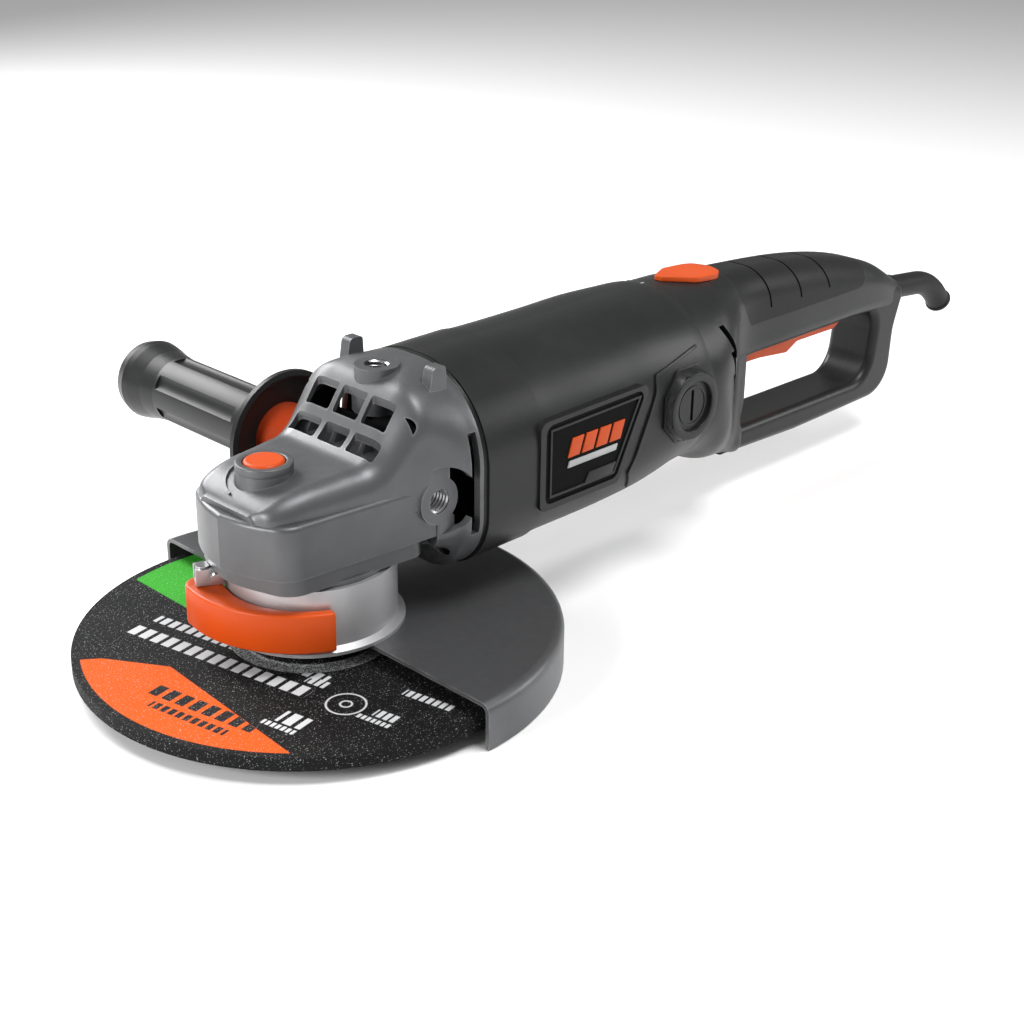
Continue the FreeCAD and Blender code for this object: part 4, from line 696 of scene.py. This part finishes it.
# name plates: a stepped frame and a plain mark of leaning bars, no lettering
badge = {
    "face": 0.0512,
    "frame": [(0.1075, 0.0600), (0.1535, 0.0600), (0.1718, 0.0958), (0.1075, 0.0945), (0.1075, 0.0600)],
    "frameWidth": 0.0013,
    "frameRise": 0.0007,
    "tab": (0.1420, 0.0628, 0.0200, 0.0055),
    # x, z, length, height, lean
    "orangeBars": [(0.1235, 0.0820, 0.0080, 0.0095, 0.0032), (0.1335, 0.0820, 0.0080, 0.0095, 0.0032),
                   (0.1435, 0.0820, 0.0080, 0.0095, 0.0032), (0.1535, 0.0820, 0.0080, 0.0095, 0.0032)],
    "greyBars": [(0.1370, 0.0735, 0.0350, 0.0032, 0.0012)],
    "rise": 0.0006,
}


def leaningBar(name, x, z, length, height, lean, finish, slot):
    clearSelection()
    face = badge["face"]
    bpy.ops.mesh.primitive_cube_add(size=1, location=(x, -face - badge["rise"] / 2, z),
                                    scale=(length, badge["rise"], height))
    bar = begin(name + "_left")
    pick(bar, "verts", lambda spot: spot.z > 0)
    bpy.ops.transform.translate(value=(lean, 0, 0))
    pickFacing(bar, (0, -1, 0))
    bpy.ops.mesh.inset(thickness=height * 0.12)
    bpy.ops.transform.translate(value=(0, -badge["rise"] * 0.4, 0))
    finishPiece(bar, finish, "tool_body")
    mirrorCopy(bar, name + "_right", "tool_body")


def makeBadges():
    frameStrip = runRibbon("badgeFrame_left", badge["frame"], badge["frameWidth"], -badge["face"] - 0.0001)
    applyModifier(frameStrip, "SOLIDIFY", thickness=badge["frameRise"] * 2, offset=0.0)
    applyModifier(frameStrip, "BEVEL", width=0.0003, segments=2, limit_method="ANGLE")
    finishPiece(frameStrip, made["black_plastic"], "tool_body")
    mirrorCopy(frameStrip, "badgeFrame_right", "tool_body")
    for i, bar in enumerate(badge["orangeBars"]):
        leaningBar("badgeOrange%d" % i, *bar, made["orange_plastic"], "orange_plastic")
    for i, bar in enumerate(badge["greyBars"]):
        leaningBar("badgeGrey%d" % i, *bar, made["badge_grey"], "steel")
    x, z, length, height = badge["tab"]
    leaningBar("badgeTab", x, z, length, height, 0.0030, made["black_plastic"], "black_plastic")
    print("name plates are framed and marked")


makeBadges()


# gear head: threads, cast collar about the lock button, crescent ridge
head = {
    "threadRadius": 0.0060,
    "threadDepth": 0.0008,
    "threadPitch": 0.0020,
    "sideBoss": (0.043, 0.0425, 0.0745),
    "topBoss": (0.043, 0.0, 0.131),
    "sideTurns": 8,
    "topTurns": 7,
    "button": (-0.024, 0.0, 0.0990),
    "buttonCollar": (0.00995, 0.0132, 0.0024),   # inner, outer, rise
    "collarFoot": -0.0016,       # sunk into the casting
    "collarTaper": 0.93,
    "crescentRadius": 0.0178,
    "crescentWidth": 0.0011,
    "crescentRise": 0.0005,
    "crescentArc": (172, 84),    # start and sweep, degrees
    "crescentHeight": 0.14,      # above the casting, before it is pressed on
}


# a triangular thread that winds from the mouth of a hole inwards
def threadCoil(name, mouth, axis, turns):
    clearSelection()
    bpy.ops.mesh.primitive_plane_add(size=head["threadPitch"], location=(0, 0, 0))
    coil = begin(name)
    mesh = bmesh.from_edit_mesh(coil.data)
    radius, depth, pitch = head["threadRadius"], head["threadDepth"], head["threadPitch"]
    profile = ((radius + 0.0001, 0, -pitch * 0.42), (radius - depth, 0, -pitch * 0.08),
               (radius - depth, 0, pitch * 0.08), (radius + 0.0001, 0, pitch * 0.42))
    for vert, spot in zip(mesh.faces[:][0].verts, profile):
        vert.co = spot
    bmesh.update_edit_mesh(coil.data)
    bpy.ops.object.mode_set(mode="OBJECT")
    applyModifier(coil, "SCREW", axis="Z", screw_offset=pitch, iterations=turns, steps=28, render_steps=28,
                  use_merge_vertices=True, use_smooth_shade=False)
    inwards = -Vector(axis)
    coil.rotation_euler = inwards.to_track_quat("Z", "X").to_euler()
    coil.location = Vector(mouth) + inwards * pitch * 0.5
    return finishPiece(coil, made["steel"], "tool_body")


# a flat arc about +Z, one edge spun round its centre
def arcStrip(name, centre, radius, width, start, sweep, height):
    clearSelection()
    bpy.ops.mesh.primitive_plane_add(size=width, location=(0, 0, 0))
    strip = begin(name)
    mesh = bmesh.from_edit_mesh(strip.data)
    bmesh.ops.delete(mesh, geom=[mesh.faces[:][0]], context="FACES_ONLY")
    keep = mesh.edges[:][0]
    bmesh.ops.delete(mesh, geom=[v for v in mesh.verts if v not in keep.verts], context="VERTS")
    angle = math.radians(start)
    for vert, reach in zip(mesh.verts, (radius - width / 2, radius + width / 2)):
        vert.co = (centre[0] + reach * math.cos(angle), centre[1] + reach * math.sin(angle), height)
    bmesh.update_edit_mesh(strip.data)
    bpy.ops.mesh.select_all(action="SELECT")
    bpy.ops.mesh.spin(steps=32, angle=math.radians(sweep), center=(centre[0], centre[1], height),
                      axis=(0, 0, 1))
    bpy.ops.object.mode_set(mode="OBJECT")
    return strip


def makeHeadTrim():
    x, y, z = head["sideBoss"]
    threadCoil("sideThread_left", (x, -y, z), (0, -1, 0), head["sideTurns"])
    threadCoil("topThread", head["topBoss"], (0, 0, 1), head["topTurns"])
    x, y, z = head["button"]
    inner, outer, rise = head["buttonCollar"]
    collar = solidRing("lockButtonCollar", inner, outer, head["collarFoot"], rise, (x, y, z), "z")
    editAgain(collar)

    def outerTop(spot):
        return spot.z > z + rise - 0.0001 and math.hypot(spot.x - x, spot.y - y) > inner + 0.001

    pick(collar, "verts", outerTop)
    taper = head["collarTaper"]
    bpy.ops.transform.resize(value=(taper, taper, 1), center_override=(x, y, z))
    bpy.ops.object.mode_set(mode="OBJECT")
    applyModifier(collar, "BEVEL", width=0.0006, segments=3, limit_method="ANGLE")
    finishPiece(collar, made["cast_grey"], "tool_body")
    start, sweep = head["crescentArc"]
    crescent = arcStrip("crescentRidge", (x, y), head["crescentRadius"], head["crescentWidth"], start, sweep,
                        head["crescentHeight"])
    layOn(crescent, "gear_housing", head["crescentRise"], "z")
    finishPiece(crescent, made["cast_grey"], "tool_body")
    print("gear head has its threads and marks")


makeHeadTrim()


# moulded orange pieces: the CAD shapes with rounded edges
moulded = {
    "clamp_lever": ("leverMoulding", "clamp_lever_unit", 0.0012),
    "handle_lock_button": ("swivelButtonMoulding", "handle_lock", 0.0007),
    "trigger": ("triggerMoulding", "trigger_unit", 0.0008),
}


def makeMouldings():
    for node, (name, body, edge) in moulded.items():
        piece = copyOfNode(node, name)
        applyModifier(piece, "BEVEL", width=edge, segments=3, limit_method="ANGLE",
                      angle_limit=math.radians(38),
                      use_clamp_overlap=True, miter_outer="MITER_ARC")
        finishPiece(piece, made["orange_plastic"], body)
        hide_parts(node)
    print("orange mouldings are rounded")


makeMouldings()


# scale ticks on the motor housing beside the swivel joint
ticks = {
    "x": 0.2292,
    "axisZ": 0.081,
    "radius": 0.0502,
    "turns": (-36, -24, -12, 0, 12, 24, 36),     # degrees from the top
    "size": (0.0044, 0.0010, 0.0010),
}


def makeTicks():
    for i, turn in enumerate(ticks["turns"]):
        clearSelection()
        angle = math.radians(turn)
        spot = (ticks["x"], ticks["radius"] * math.sin(angle),
                ticks["axisZ"] + ticks["radius"] * math.cos(angle))
        bpy.ops.mesh.primitive_cube_add(size=1, location=spot, rotation=(-angle, 0, 0), scale=ticks["size"])
        tick = begin("swivelTick%d" % i)
        bpy.ops.object.mode_set(mode="OBJECT")
        applyModifier(tick, "BEVEL", width=0.0002, segments=2, limit_method="ANGLE")
        finishPiece(tick, made["badge_grey"] if turn == 0 else made["black_plastic"], "tool_body")
    print("swivel scale has its ticks")


makeTicks()
